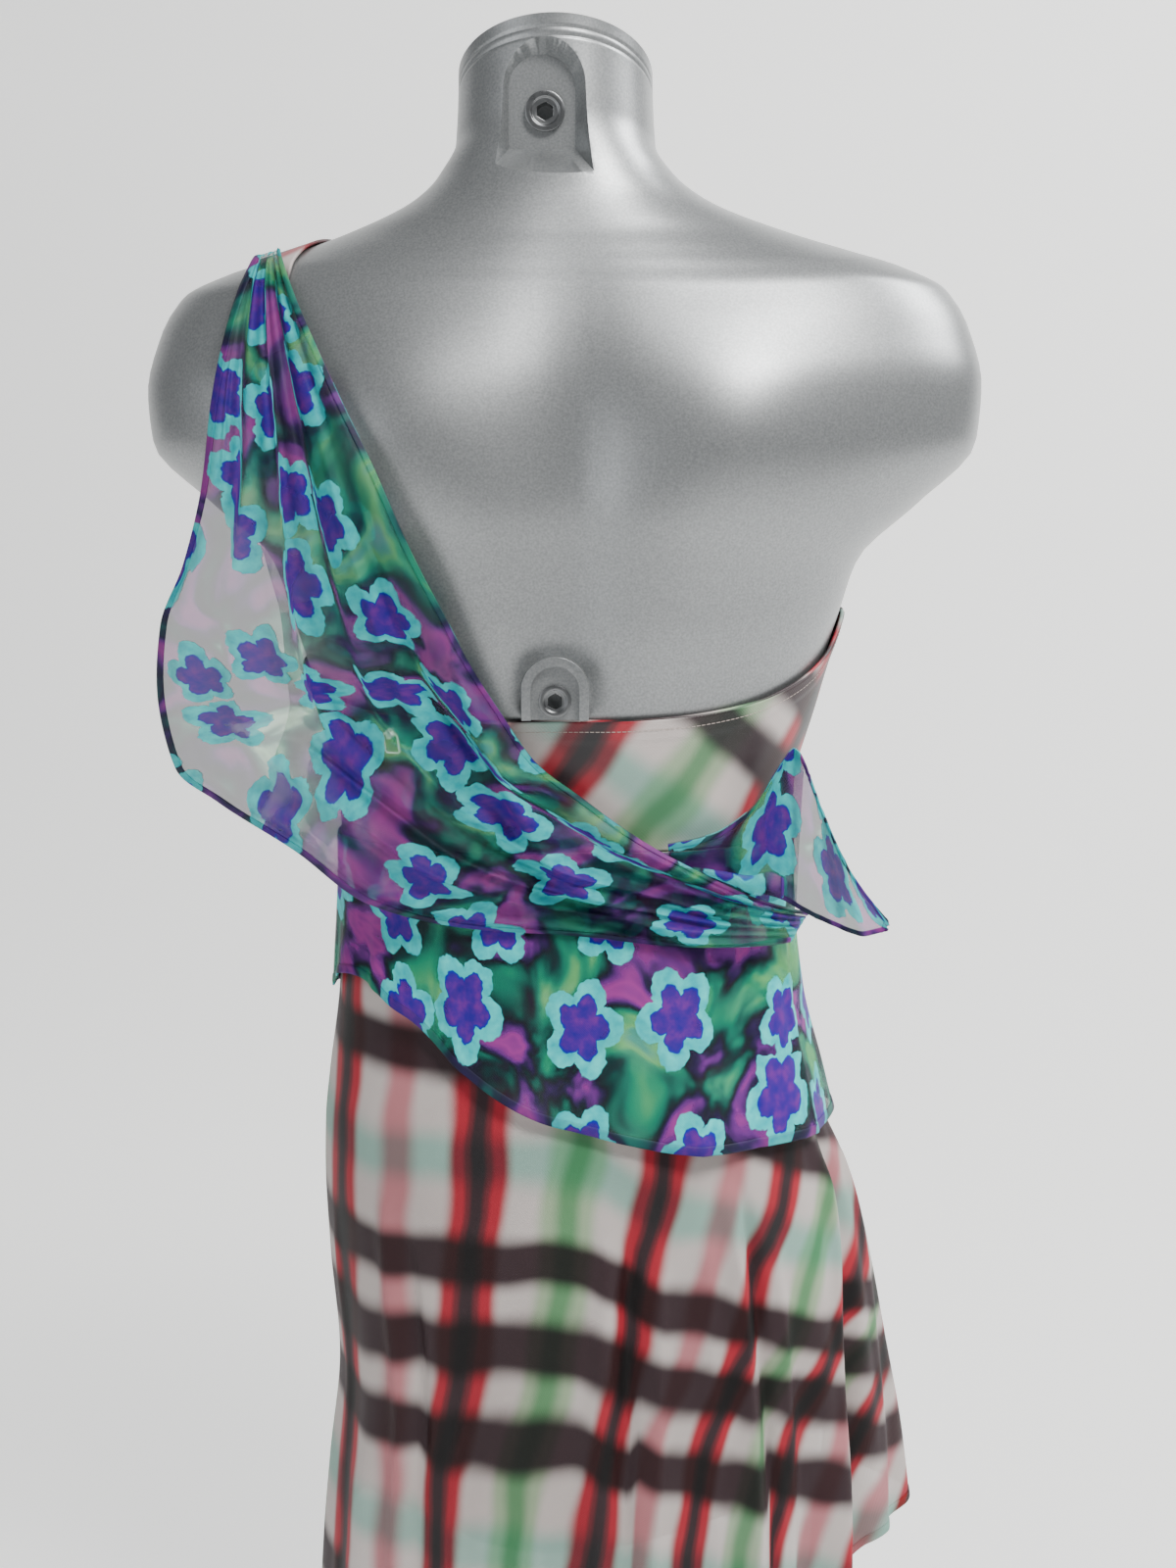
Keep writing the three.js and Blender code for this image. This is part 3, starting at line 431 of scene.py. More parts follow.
# ---- Stand --------------------------------------------------------------------------
# A plated steel pole in a screwed collar on a round weighted base plate with a silver
# powder coat; lathe-turned forms with broken edges.
BASE_RADIUS, BASE_THICK, POLE_RADIUS, COLLAR_RADIUS, COLLAR_TOP, SEAM = 150, 10, 14, 26, 36, 0.3


def disc(name, radius, low, high, broken, vertices=64):
    cylinder(radius, high - low, (0, 0, (low + high) / 2), vertices, along_y=False)
    made = bake_place()
    made.name = name
    bevel(made, broken, 4)
    smooth(made, 35)
    return made


base = disc("base_disc", BASE_RADIUS, 0, BASE_THICK, 2.5, 128)
collar = disc("pole_collar_turned", COLLAR_RADIUS, BASE_THICK + SEAM, COLLAR_TOP, 3.5)
pole = disc("pole_tube", POLE_RADIUS, BASE_THICK + SEAM, FORM_BOTTOM - SEAM, 0.6)
use_boolean(collar, cylinder(POLE_RADIUS + SEAM, 100, (0, 0, 0), along_y=False))
powder_coat = plain_material("powder_coat", (0.36, 0.37, 0.38), 0.5, 0.5, "base_metal")
bump(powder_coat, noise(powder_coat, object_at(powder_coat), 420.0), 0.15, 0.0005)
plated_steel = plain_material("plated_steel", (0.6, 0.61, 0.62), 0.2, 1.0, "stand_metal")
hazed(plated_steel, 30.0, 5.0, 0.2, 0.1)
finish(base, powder_coat, "base_plate")
finish(collar, plated_steel, "pole_collar")
finish(pole, plated_steel, "stand_pole")

# ---- Bodice -------------------------------------------------------------------------
# Soft satin cut on the bias, printed with a blurred plaid. The low back and the
# one-shoulder front meet at side seams; the upper edge is faced, turned and topstitched.
WAIST, SIDE_GAP = 575, 0.08
BODICE_CLEAR, BODICE_CLOTH = 1.6, 1.5
PLAID_REPEAT = 185
BACK_EDGE = table(
    "at z",
    (-90, 662), (-60, 646), (-30, 639.5), (0, 639), (22, 641), (38, 645), (56, 654), (74, 668),
    (90, 688))
FRONT_EDGE = table(
    "z armhole neckline",
    (575, -200, 200), (656, -200, 200), (662, -133.3, 200), (670, -133.1, 180), (680, -131.6, 160),
    (690, -131.1, 141), (703, -131.8, 137), (715, -132.8, 124), (735, -136, 88), (765, -145, 27),
    (800, -153, -44), (825, -156, -86), (845, -156, -112))
STRAP_FROM, STRAP_CLEAR = 845, 0.9
EDGE_ROLL, STITCH_DROP, FACING_DROP, FACING_RISE = 1.0, 5, 11, 0.45
STRAP_BACK, STRAP_FRONT = (-129, -150), (-112, -156)  # inner and outer edge


def linear(*srgb):
    return tuple((c / 255) ** 2.2 for c in srgb)


def cloth_at(material):
    """The cloth's own coordinates, in metres."""
    made = node(material, "ShaderNodeUVMap")
    made.uv_map = "print"
    return made.outputs["UV"]


def mix_color(material, share, a, b, blend="MIX"):
    made = node(material, "ShaderNodeMix", in0=share, in6=a, in7=b)
    made.data_type, made.blend_type = "RGBA", blend
    return made.outputs[2]


def plaid(material, turn=0.0, shift=(0.0, 0.0)):
    """The print's colour: warp bands times weft bands, blurred as if painted wet."""
    calc, at = partial(math_node, material), cloth_at(material)
    turned = node(material, "ShaderNodeMapping", Vector=at, Rotation=(0, 0, math.radians(turn)),
                  Location=(*shift, 0)).outputs["Vector"]
    split = node(material, "ShaderNodeSeparateXYZ", Vector=turned)
    drift = calc("MULTIPLY_ADD", noise(material, turned, 22.0, 1.0), 0.012, -0.006)
    half = PLAID_REPEAT / 2 * MM

    def bands(coordinate, stops):
        folded = calc("PINGPONG", calc("ADD", coordinate, drift), half)
        return ramp(material, calc("DIVIDE", folded, half), stops, "EASE")

    none = (1, 1, 1)
    green, halo = (0.17, 0.47, 0.22), (0.52, 0.78, 0.52)
    red, black, rose = (0.62, 0.03, 0.06), (0.05, 0.028, 0.036), (0.78, 0.33, 0.38)
    brown, teal = (0.22, 0.03, 0.045), (0.46, 0.82, 0.74)
    warp = bands(split.outputs["X"], [
        (0, green), (0.02, green), (0.11, halo), (0.2, none), (0.32, none), (0.4, red),
        (0.43, red), (0.465, brown), (0.5, black), (0.54, black), (0.575, brown), (0.61, red),
        (0.64, red), (0.73, none), (0.85, none), (0.96, rose), (1, rose)])
    weft = bands(split.outputs["Y"], [
        (0, teal), (0.04, teal), (0.2, none), (0.34, none), (0.46, black), (0.61, black),
        (0.73, none), (0.78, none), (0.91, black), (1, black)])
    base_tone = ramp(material, noise(material, at, 9.0),
                     [(0.35, linear(186, 175, 171)), (0.65, linear(205, 195, 191))])
    colored = mix_color(material, 1.0, base_tone, warp, "MULTIPLY")
    return mix_color(material, 1.0, colored, weft, "MULTIPLY")


def fine_weave(material, threads_per_mm, strength):
    """A woven bump from crossing threads in the cloth's own coordinates."""
    calc, scale = partial(math_node, material), threads_per_mm * 1000 * math.pi
    split = node(material, "ShaderNodeSeparateXYZ", Vector=cloth_at(material))
    across, down = (calc("SINE", calc("MULTIPLY", split.outputs[c], scale)) for c in "XY")
    bump(material, calc("MULTIPLY", across, down), strength, 0.0003)


plaid_satin = plain_material("plaid_satin", (0.6, 0.55, 0.52), 0.42, slot="plaid_satin")
link(plaid_satin, plaid(plaid_satin, turn=38, shift=(-0.025, -0.0486)), "Base Color")
fine_weave(plaid_satin, 1.2, 0.15)


def set_print(piece, at):
    layer = piece.data.uv_layers.new(name="print")
    layer.data.foreach_set("uv", (at * MM).astype(np.float32).ravel())


def cloth_sheet(name, outer, print_at, thick, material, replaces=None, closed=False):
    """A thin cloth wall whose outside runs through a grid of points, with print
    coordinates in mm. The wall is made inwards."""
    rows, columns = outer.shape[:2]
    count = columns - 1 if closed else columns
    index = np.arange(rows)[:, None] * count + (np.arange(columns) % count)[None, :]

    def corners(grid):
        return np.stack([grid[:-1, :-1], grid[:-1, 1:], grid[1:, 1:], grid[1:, :-1]], 2)
    piece = new_object(name, outer[:, :count].reshape(-1, 3),
                       corners(index).reshape(-1, 4).tolist())
    set_print(piece, corners(print_at).reshape(-1, 2))
    apply_modifier(piece, "SOLIDIFY", thickness=thick * MM, offset=-1, use_even_offset=False)
    piece.data.shade_smooth()
    return finish(piece, material, replaces)


def lengths_along(points, axis):
    """Distances along each row (axis 1) or column (axis 0) of a grid of points."""
    step = np.linalg.norm(np.diff(points, axis=axis), axis=-1)
    start = np.zeros_like(np.take(step, [0], axis=axis))
    return np.cumsum(np.concatenate([start, step], axis=axis), axis=axis)


def unit(vectors):
    return vectors / np.linalg.norm(vectors, axis=-1)[..., None]


def line_lengths(line):
    return np.concatenate([[0], np.cumsum(np.linalg.norm(np.diff(line, axis=0), axis=1))])


def tube_along(name, line, radius, material, sides=8):
    """A rolled edge: a round tube along a line of points, closed at its ends."""
    tangent = unit(np.gradient(line, axis=0))
    side = unit(np.cross(tangent, np.array([0.31, 0.17, 0.93])))
    other = np.cross(tangent, side)
    angle = (np.arange(sides) * 2 * math.pi / sides)[None, :, None]
    ring = np.cos(angle) * side[:, None] + np.sin(angle) * other[:, None]
    points = (line[:, None] + radius * ring).reshape(-1, 3)
    piece = new_object(name, points, ring_faces(len(line), sides))
    corner = np.empty(len(piece.data.loops), int)
    piece.data.loops.foreach_get("vertex_index", corner)
    set_print(piece, np.stack([line_lengths(line)[corner // sides], (corner % sides) * radius], -1))
    piece.data.shade_smooth()
    return finish(piece, material)


def stitch_row(name, line, out, material, pitch=2.6, long=1.9, thick=0.17):
    """Topstitching: short flattened threads laid end to end along a line on the cloth."""
    length = line_lengths(line)

    def along_line(values, at):
        return np.array([np.interp(at, length, values[:, k]) for k in range(3)])
    points, faces = [], []
    for start in np.arange(pitch, length[-1] - pitch, pitch):
        first, last = along_line(line, start), along_line(line, start + long)
        normal = along_line(out, start)
        side = np.cross((last - first) / np.linalg.norm(last - first), normal)
        base = len(points)
        for point, lift in ((first, 0.0), ((first + last) / 2, thick), (last, 0.0)):
            for a, b in ((-1, 0), (0, 1), (1, 0), (0, -1)):
                points.append(point + side * a * thick + normal * (b * thick * 0.8 + lift * 0.5))
        faces += [[base + corner for corner in face] for face in ring_faces(3, 4)]
    piece = new_object(name, points, faces)
    make_active(piece)
    with editing():
        bpy.ops.mesh.normals_make_consistent(inside=False)
    return finish(piece, material)


def outward(direction, z, clear):
    """The outward normal of the form's offset surface."""
    step = 0.4
    level = on_form(direction + step, z, clear) - on_form(direction - step, z, clear)
    return unit(np.cross(level, on_form(direction, z + 1, clear) - on_form(direction, z - 1, clear)))


def bodice_back_grid():
    direction = np.linspace(-90 + SIDE_GAP, 90 - SIDE_GAP, 161)[None, :]
    top = read(BACK_EDGE, "z", direction, "at")
    share = np.linspace(0, 1, 61)[:, None]
    z = WAIST + SEAM + share * (top - WAIST - SEAM)
    drag = 0.5 * np.sin(direction / 7 + z / 9) * ease((650 - z) / 60)
    drag = drag + FACING_RISE * ease((z - top + FACING_DROP) / 1.5)
    return on_form(direction + 0 * z, z, BODICE_CLEAR + BODICE_CLOTH + drag), direction, top


def neckline_directions(z, clear):
    half, power = read(FORM, "half", z) + clear, read(FORM, "power", z)
    def turn(x):
        share = np.minimum(1, np.abs(x) / half) ** (power / 2)
        return 180 - np.sign(x) * np.degrees(np.arcsin(share))
    neckline = np.minimum(read(FRONT_EDGE, "neckline", z), half)
    armhole = np.maximum(read(FRONT_EDGE, "armhole", z), -half)
    return np.maximum(90 + SIDE_GAP, turn(neckline)), np.minimum(270 - SIDE_GAP, turn(armhole))


def bodice_front_grid():
    z = np.linspace(WAIST + SEAM, STRAP_FROM, 141)[:, None]
    start, end = neckline_directions(z, BODICE_CLEAR)
    direction = start + np.linspace(0, 1, 141)[None, :] * (end - start)
    drag = 0.5 * np.sin(direction / 8 - z / 11) * ease((690 - z) / 80)
    return on_form(direction, z + 0 * direction, BODICE_CLEAR + BODICE_CLOTH + drag)


def shoulder_top(x, y):
    """Height of the form's upper surface, found by halving."""
    low, high = np.full(x.shape, 780.0), np.full(x.shape, 900.0)
    for _ in range(30):
        z = (low + high) / 2
        half, back, front, mid, power = read_all(FORM, "half back front mid power", z)
        depth = np.where(y < mid, back, front)
        inside = np.abs(x / half) ** power + np.abs((y - mid) / depth) ** power < 1
        low, high = np.where(inside, z, low), np.where(inside, high, z)
    return low


def strap_grid():
    share = np.linspace(0, 1, 61)[:, None]
    inner, outer = (back + (front - back) * ease(share / 0.8)
                    for back, front in zip(STRAP_BACK, STRAP_FRONT))
    x = outer + (inner - outer) * np.linspace(0, 1, 25)[None, :]
    foot = np.array([[STRAP_FROM + SEAM]])
    half, back, front, mid, power = read_all(FORM, "half back front mid power", foot)
    reach = (1 - np.abs(x / half) ** power) ** (1 / power)
    y = mid - back * reach + (back + front) * reach * share
    z = shoulder_top(x, y)
    slope_x = (shoulder_top(x + 1, y) - shoulder_top(x - 1, y)) / 2
    slope_y = (shoulder_top(x, y + 1) - shoulder_top(x, y - 1)) / 2
    normal = unit(np.stack([-slope_x, -slope_y, np.ones_like(z)], -1))
    clear = STRAP_CLEAR + (BODICE_CLEAR - STRAP_CLEAR) * ease((share - 0.75) / 0.25)
    return np.stack([x, y, z], -1) + normal * (clear + BODICE_CLOTH)[..., None]


def planar_print(points):
    """Print coordinates of a panel: lengths along the cloth from its middle and its foot."""
    across = lengths_along(points, 1)
    middle = across[:, across.shape[1] // 2][:, None]
    return np.stack([across - middle, lengths_along(points, 0)], -1)


thread = plain_material("greige_thread", linear(180, 166, 158), 0.55, slot="plaid_satin")
link(thread, ramp(thread, noise(thread, object_at(thread), 900.0),
                  [(0.3, linear(160, 146, 138)), (0.7, linear(192, 178, 170))]), "Base Color")
back_points, back_direction, back_top = bodice_back_grid()
front_points = bodice_front_grid()
grids = {"bodice_back": back_points, "bodice_front": front_points, "shoulder_strap": strap_grid()}
satin = {name: cloth_sheet(f"{name}_cloth", points, planar_print(points), BODICE_CLOTH,
                           plaid_satin, name) for name, points in grids.items()}
edge_direction, edge_top = back_direction[0], back_top[0]
stitch_z = edge_top - STITCH_DROP
outside = BODICE_CLEAR + BODICE_CLOTH
faced = outside + FACING_RISE
back_edge = tube_along("bodice_back_edge",
                       on_form(edge_direction, edge_top, outside - BODICE_CLOTH / 2),
                       EDGE_ROLL, plaid_satin)
back_stitches = stitch_row("bodice_back_stitches", on_form(edge_direction, stitch_z, faced + 0.1),
                           outward(edge_direction, stitch_z, faced), thread)
front_stitches = stitch_row("bodice_front_stitches", front_points[20:-1, 3] + [0, 0.25, 0],
                            np.tile([0.0, 1.0, 0.0], (len(front_points) - 21, 1)), thread)
neckline_edge = tube_along("bodice_neckline_edge", front_points[60:, 0], EDGE_ROLL, plaid_satin)
armhole_edge = tube_along("bodice_armhole_edge", front_points[45:, -1], EDGE_ROLL, plaid_satin)

# ---- Lining -------------------------------------------------------------------------
# A closed slip of pale satin under the sheer skirt; it ends above the skirt's hem.
LINING = table(
    "z left right back front",
    (236, 119, 122, 107, 98), (300, 116.5, 122, 111, 98), (358, 121.5, 124, 112, 97.5),
    (400, 123.7, 124, 112.8, 97), (440, 122.5, 122.6, 106.7, 96.6), (493, 115.5, 115.5, 89.5, 91.5),
    (545, 112.4, 112.4, 77.4, 87.4), (575, 114, 114, 77.2, 89.9))
LINING_FOLDS = table(
    "at wide deep top",
    (-60, 12, 3, 320), (-12, 12, 3, 320), (40, 12, 4, 340), (130, 12, 3, 320), (200, 12, 3, 320))
LINING_EDGE = table(
    "at z",
    (-90, 245), (-40, 244), (0, 231), (45, 243), (90, 244), (180, 236), (270, 245))
LINING_CLOTH, TUBE_POWER = 1.0, 2.3


def turn_from(direction, at):
    """Degrees round the tube from a place, between -180 and 180."""
    return (direction - at + 180) % 360 - 180


def fold_at(folds, direction, z, hem):
    """How far the tube's folds stand out: deepest at the hem, gone at their top."""
    out = 0
    for at, wide, deep, top in zip(*folds.values()):
        drop = np.maximum(0, (top - z) / (top - hem)) ** 1.4
        out = out + deep * bell(turn_from(direction, at), wide) * drop
    return out


def crease_at(creases, direction, z):
    """Finer creases that lean: shift in degrees for each 100 mm down, between two heights."""
    out = 0
    for at, lean, wide, deep, low, high in zip(*creases.values()):
        turn = turn_from(direction, at + lean * (high - z) / 100)
        out = out + deep * bell(turn, wide) * ease((z - low) / 45) * ease((high - z) / 60)
    return out


def tube_points(sizes, folds, edge, start, end, columns, levels, out, creases=None):
    direction = np.linspace(start, end, columns)[None, :]
    hem = read(edge, "z", direction, "at")
    z = hem + (WAIST - hem) * np.linspace(0, 1, levels)[:, None] ** 0.9
    out = out + fold_at(folds, direction, z, hem)
    if creases:
        out = out + crease_at(creases, direction, z)
    widths = [size + out for size in read_all(sizes, "left right back front", z)]
    return on_section(*widths, 0, TUBE_POWER, direction, z), direction, z


lining_points, _, lining_z = tube_points(LINING, LINING_FOLDS, LINING_EDGE, -90, 270, 241, 61,
                                         LINING_CLOTH)
lining_satin = plain_material("lining_satin", linear(214, 205, 198), 0.38, slot="lining_cloth",
                              Sheen_Weight=0.2)
link(lining_satin, ramp(lining_satin, noise(lining_satin, cloth_at(lining_satin), 14.0),
                        [(0.3, linear(205, 196, 189)), (0.7, linear(221, 213, 206))]), "Base Color")
fine_weave(lining_satin, 1.4, 0.1)
lining = cloth_sheet("lining_slip", lining_points,
                     np.stack([lengths_along(lining_points, 1), lining_z], -1), LINING_CLOTH,
                     lining_satin, "lining", closed=True)

# ---- Skirt --------------------------------------------------------------------------
# Sheer plaid cloth over the lining, cut in a back and a front with flutes at the right
# side; narrow hems are turned up and stitched.
SKIRT = table(
    "z left right back front",
    (165, 128, 158, 130, 124), (200, 127, 160, 128, 121), (245, 124, 161, 124, 116),
    (300, 119, 158, 120, 109), (358, 124, 153, 117, 103), (400, 126, 144, 116.5, 101),
    (425, 125.5, 134, 113, 100), (450, 123, 127, 106.5, 98.5), (493, 117.5, 118.5, 92, 94),
    (545, 114.5, 114.5, 79.5, 89.5), (575, 115.6, 115.6, 78.8, 91.5))
SKIRT_FOLDS = table(
    "at wide deep top",
    (-74, 9, 5, 400), (-50, 8, 8, 440), (-24, 9, 5, 330), (8, 8, 9, 400), (20, 6, -6, 340),
    (35, 8, 10, 420), (43, 5, -6, 400), (52, 6, 12, 440), (63, 5.5, -17, 435), (75, 6, 10, 430),
    (88, 7, 25, 440), (97, 4.5, -14, 420), (106, 8, 28, 440), (120, 7, -10, 400), (136, 9, 9, 380),
    (162, 10, 6, 360), (190, 9, 9, 400), (214, 8, 6, 340), (240, 9, 8, 380), (262, 8, 5, 400))
SKIRT_EDGE = table(
    "at z",
    (-90, 170), (0, 163), (58, 166), (64, 178), (71, 203), (86, 208), (104, 216), (130, 206),
    (152, 182), (180, 168), (270, 170))
SKIRT_CREASES = table(
    "at lean wide deep low high",
    (-66, 1, 2.4, 1.3, 150, 410), (-41, 1.5, 3.0, 3.2, 120, 430), (-34, 1.5, 2.2, -4.0, 110, 400),
    (-22, 0, 2.6, 1.6, 110, 340), (-6, -1, 2.2, 1.1, 110, 330), (6, -1.5, 1.8, 3.6, 110, 420),
    (10.5, -1.5, 1.7, -4.6, 110, 430), (15, -1.5, 1.6, 2.8, 110, 400), (24, 0, 2.2, 1.8, 110, 420),
    (30, 0.5, 1.8, 3.8, 110, 420), (34.5, 0.5, 1.7, -4.4, 110, 430), (40, 0.5, 1.8, 2.6, 110, 400),
    (66, -5.5, 3.0, 5.5, 120, 450), (75, -5.5, 3.2, -6.5, 120, 450), (84, -3, 2.4, 2.5, 130, 445),
    (97, 0, 2.6, 3.5, 150, 430), (112, -1, 2.2, 2.0, 150, 420), (128, 0, 2.6, 1.6, 150, 400),
    (149, 1, 2.4, 1.4, 120, 400), (171, -1, 2.2, 2.0, 110, 430), (178, -1.5, 2.0, -1.2, 110, 380),
    (203, 1.5, 2.4, 1.8, 110, 420), (226, -1, 2.4, 1.4, 120, 400), (251, 1, 2.2, 1.6, 130, 420))
# How the grain sags round the dress, and how it leans
SKIRT_DROP = table(
    "at down",
    (-90, -8), (-70, 0), (-45, 3), (-20, 1), (0, 0), (15, 23), (25, 29), (33, 37), (60, 62),
    (90, 84), (130, 60), (180, 34), (225, 24), (270, -8))
SKIRT_LEAN = table(
    "at lean",
    (-90, 0.05), (-40, 0.06), (0, 0.15), (15, 0.2), (30, 0.33), (45, 0.42), (60, 0.45), (90, 0.3),
    (140, 0.1), (180, 0.05), (270, 0.05))
# Cloth that is hidden in the deepest folds
SKIRT_TUCKS = table(
    "at lean across up wide top",
    (-34, 1.5, 9, 6, 2.0, 330), (10.5, -1.5, 13, -10, 1.8, 350), (34.5, 0.5, 12, -9, 1.8, 340),
    (72, -5.5, 48, -24, 3.5, 470), (92, -1, 30, 14, 3.0, 470))
CHIFFON_CLOTH, TEAL_LINE, HEM_WIDTH, HALF_CLOTH = 1.2, 432, 4.5, 0.6
BACK_SHIFT, RIGHT_FULLNESS = 7.2, 1.15  # where the back's print lies, and its fuller side
HALVES = (("back", -90 + SIDE_GAP, 90 - SIDE_GAP), ("front", 90 + SIDE_GAP, 270 - SIDE_GAP))


def hem_strip(name, outer, print_at, edge, material, width=HEM_WIDTH, lift=0.4, thick=1.5):
    """A narrow doubled hem along one edge of a cloth grid: foot, head, start or end."""
    normal = np.cross(np.gradient(outer, axis=1), np.gradient(outer, axis=0))
    normal /= np.linalg.norm(normal, axis=-1)[..., None] + 1e-9
    grid = np.concatenate([outer, normal, print_at], -1)
    if edge in ("start", "end"):
        grid = grid.transpose(1, 0, 2)
    if edge in ("head", "end"):
        grid = grid[::-1]
    length = lengths_along(grid[..., :3], 0)
    inward = np.array([-0.04, 0.0, 0.2, 0.5, 0.8, 1.0, 1.03]) * width
    rise = np.array([0.0, 0.7, 1.0, 1.0, 1.0, 0.8, 0.1]) * lift
    strip = np.empty((len(inward), grid.shape[1], 8))
    for i in range(grid.shape[1]):
        for k in range(8):
            strip[:, i, k] = np.interp(inward, length[:, i], grid[:, i, k])
    strip[..., :3] += strip[..., 3:6] * rise[:, None, None]
    if edge in ("head", "end"):
        strip = strip[::-1]
    if edge in ("start", "end"):
        strip = strip.transpose(1, 0, 2)
    return cloth_sheet(name, strip[..., :3], strip[..., 6:], thick, material)


def hung_half(name, points, print_at, material, hem_material):
    piece = cloth_sheet(f"{name}_cloth", points, print_at, HALF_CLOTH, material, name)
    hem = hem_strip(f"{name}_hem", points, print_at, "foot", hem_material)


def sheer_plaid(name, alpha, darker=1.0):
    """Sheer printed cloth, which covers more where its ink is dark."""
    material = plain_material(name, (0.6, 0.56, 0.54), 0.6, slot="plaid_chiffon",
                              Specular_IOR_Level=0.25)
    color = plaid(material)
    pale = node(material, "ShaderNodeRGBToBW", Color=color).outputs["Val"]
    link(material, math_node(material, "MULTIPLY_ADD", pale, -0.45, alpha + 0.3), "Alpha")
    if darker < 1:
        color = node(material, "ShaderNodeBrightContrast", Color=color,
                     Bright=darker - 1).outputs["Color"]
    link(material, color, "Base Color")
    fine_weave(material, 1.7, 0.25)
    return material


skirt_plaid = sheer_plaid("skirt_plaid", 0.68)
skirt_hem_plaid = sheer_plaid("skirt_hem_plaid", 0.85, 0.94)
seam_at = 0.0
for side_name, start, end in HALVES:
    points, direction, z = tube_points(SKIRT, SKIRT_FOLDS, SKIRT_EDGE, start, end, 281, 101,
                                       CHIFFON_CLOTH, SKIRT_CREASES)
    across = lengths_along(points, 1)
    if side_name == "back":
        across -= across[:, 140][:, None] + BACK_SHIFT
        across = np.where(across > 0, RIGHT_FULLNESS * across, across)
    across = across + seam_at
    seam_at = across[:, -1][:, None]
    across = across + read(SKIRT_LEAN, "lean", direction, "at") * (TEAL_LINE - z)
    up = z - TEAL_LINE + read(SKIRT_DROP, "down", direction, "at")
    for at, lean, hidden, sag, wide, top in zip(*SKIRT_TUCKS.values()):
        turn = direction - at - lean * (top - z) / 100
        share = ease(turn / wide + 0.5) * ease((top - z) / 60)
        across, up = across + hidden * share, up + sag * share
    hung_half(f"skirt_{side_name}", points, np.stack([across, up], -1), skirt_plaid,
              skirt_hem_plaid)

# ---- Peplum -------------------------------------------------------------------------
# Printed chiffon from the waist seam, cut longer towards the right side, with a narrow
# doubled hem. The print is aqua five-petalled flowers on a dark watercolour ground.
PEPLUM = table(
    "z left right back front",
    (395, 134, 149, 124, 113), (425, 131, 137.5, 119.5, 110), (450, 128, 132, 112, 106),
    (493, 121, 122.5, 97, 99.5), (545, 118, 118, 83, 93.5), (575, 117.5, 117.5, 80.7, 93.4))
PEPLUM_FOLDS = table(
    "at wide deep top",
    (-62, 8, 5, 560), (-40, 8, 4, 540), (-14, 9, 2.5, 500), (26, 9, 4, 540), (58, 8, 3, 520),
    (92, 9, 4, 540), (122, 9, 5, 550), (158, 9, 4, 540), (196, 9, 5, 540), (232, 9, 4, 540))
PEPLUM_EDGE = table(
    "at z",
    (-90, 492), (-58, 510), (-36, 496), (-20, 473), (0, 448), (23, 435), (60, 430), (90, 425),
    (140, 416), (185, 424), (235, 462), (270, 492))
PEPLUM_CREASES = table(
    "at lean wide deep low high",
    (-79, 3, 2.0, 1.1, 470, 575), (-51, 6, 2.2, 1.4, 470, 570), (-30, 9, 2.0, 1.6, 450, 575),
    (-6, 5, 1.8, -0.9, 420, 550), (12, -3, 2.2, 0.9, 410, 560), (33, -6, 1.8, 1.6, 400, 575),
    (46, -4, 1.8, -1.0, 400, 560), (66, -2, 2.0, 1.3, 400, 570), (103, 2, 2.2, 1.4, 400, 570),
    (136, 4, 2.0, 1.2, 390, 560), (171, -3, 2.2, 1.5, 400, 570), (209, 4, 2.0, 1.2, 430, 570),
    (248, -3, 2.2, 1.4, 450, 570))
FLOWER_CELL, FLOWER_RADIUS, HEART_SHARE, WOBBLE = 0.054, 0.0245, 0.66, 0.0035  # in metres
PRINT_APART = {"back": 0, "front": 500}


def step_up(material, value, sharpness):
    """0 below zero and 1 above it, over a narrow edge."""
    made = node(material, "ShaderNodeMath", in0=value, in1=sharpness, in2=0.5)
    made.operation, made.use_clamp = "MULTIPLY_ADD", True
    return made.outputs[0]


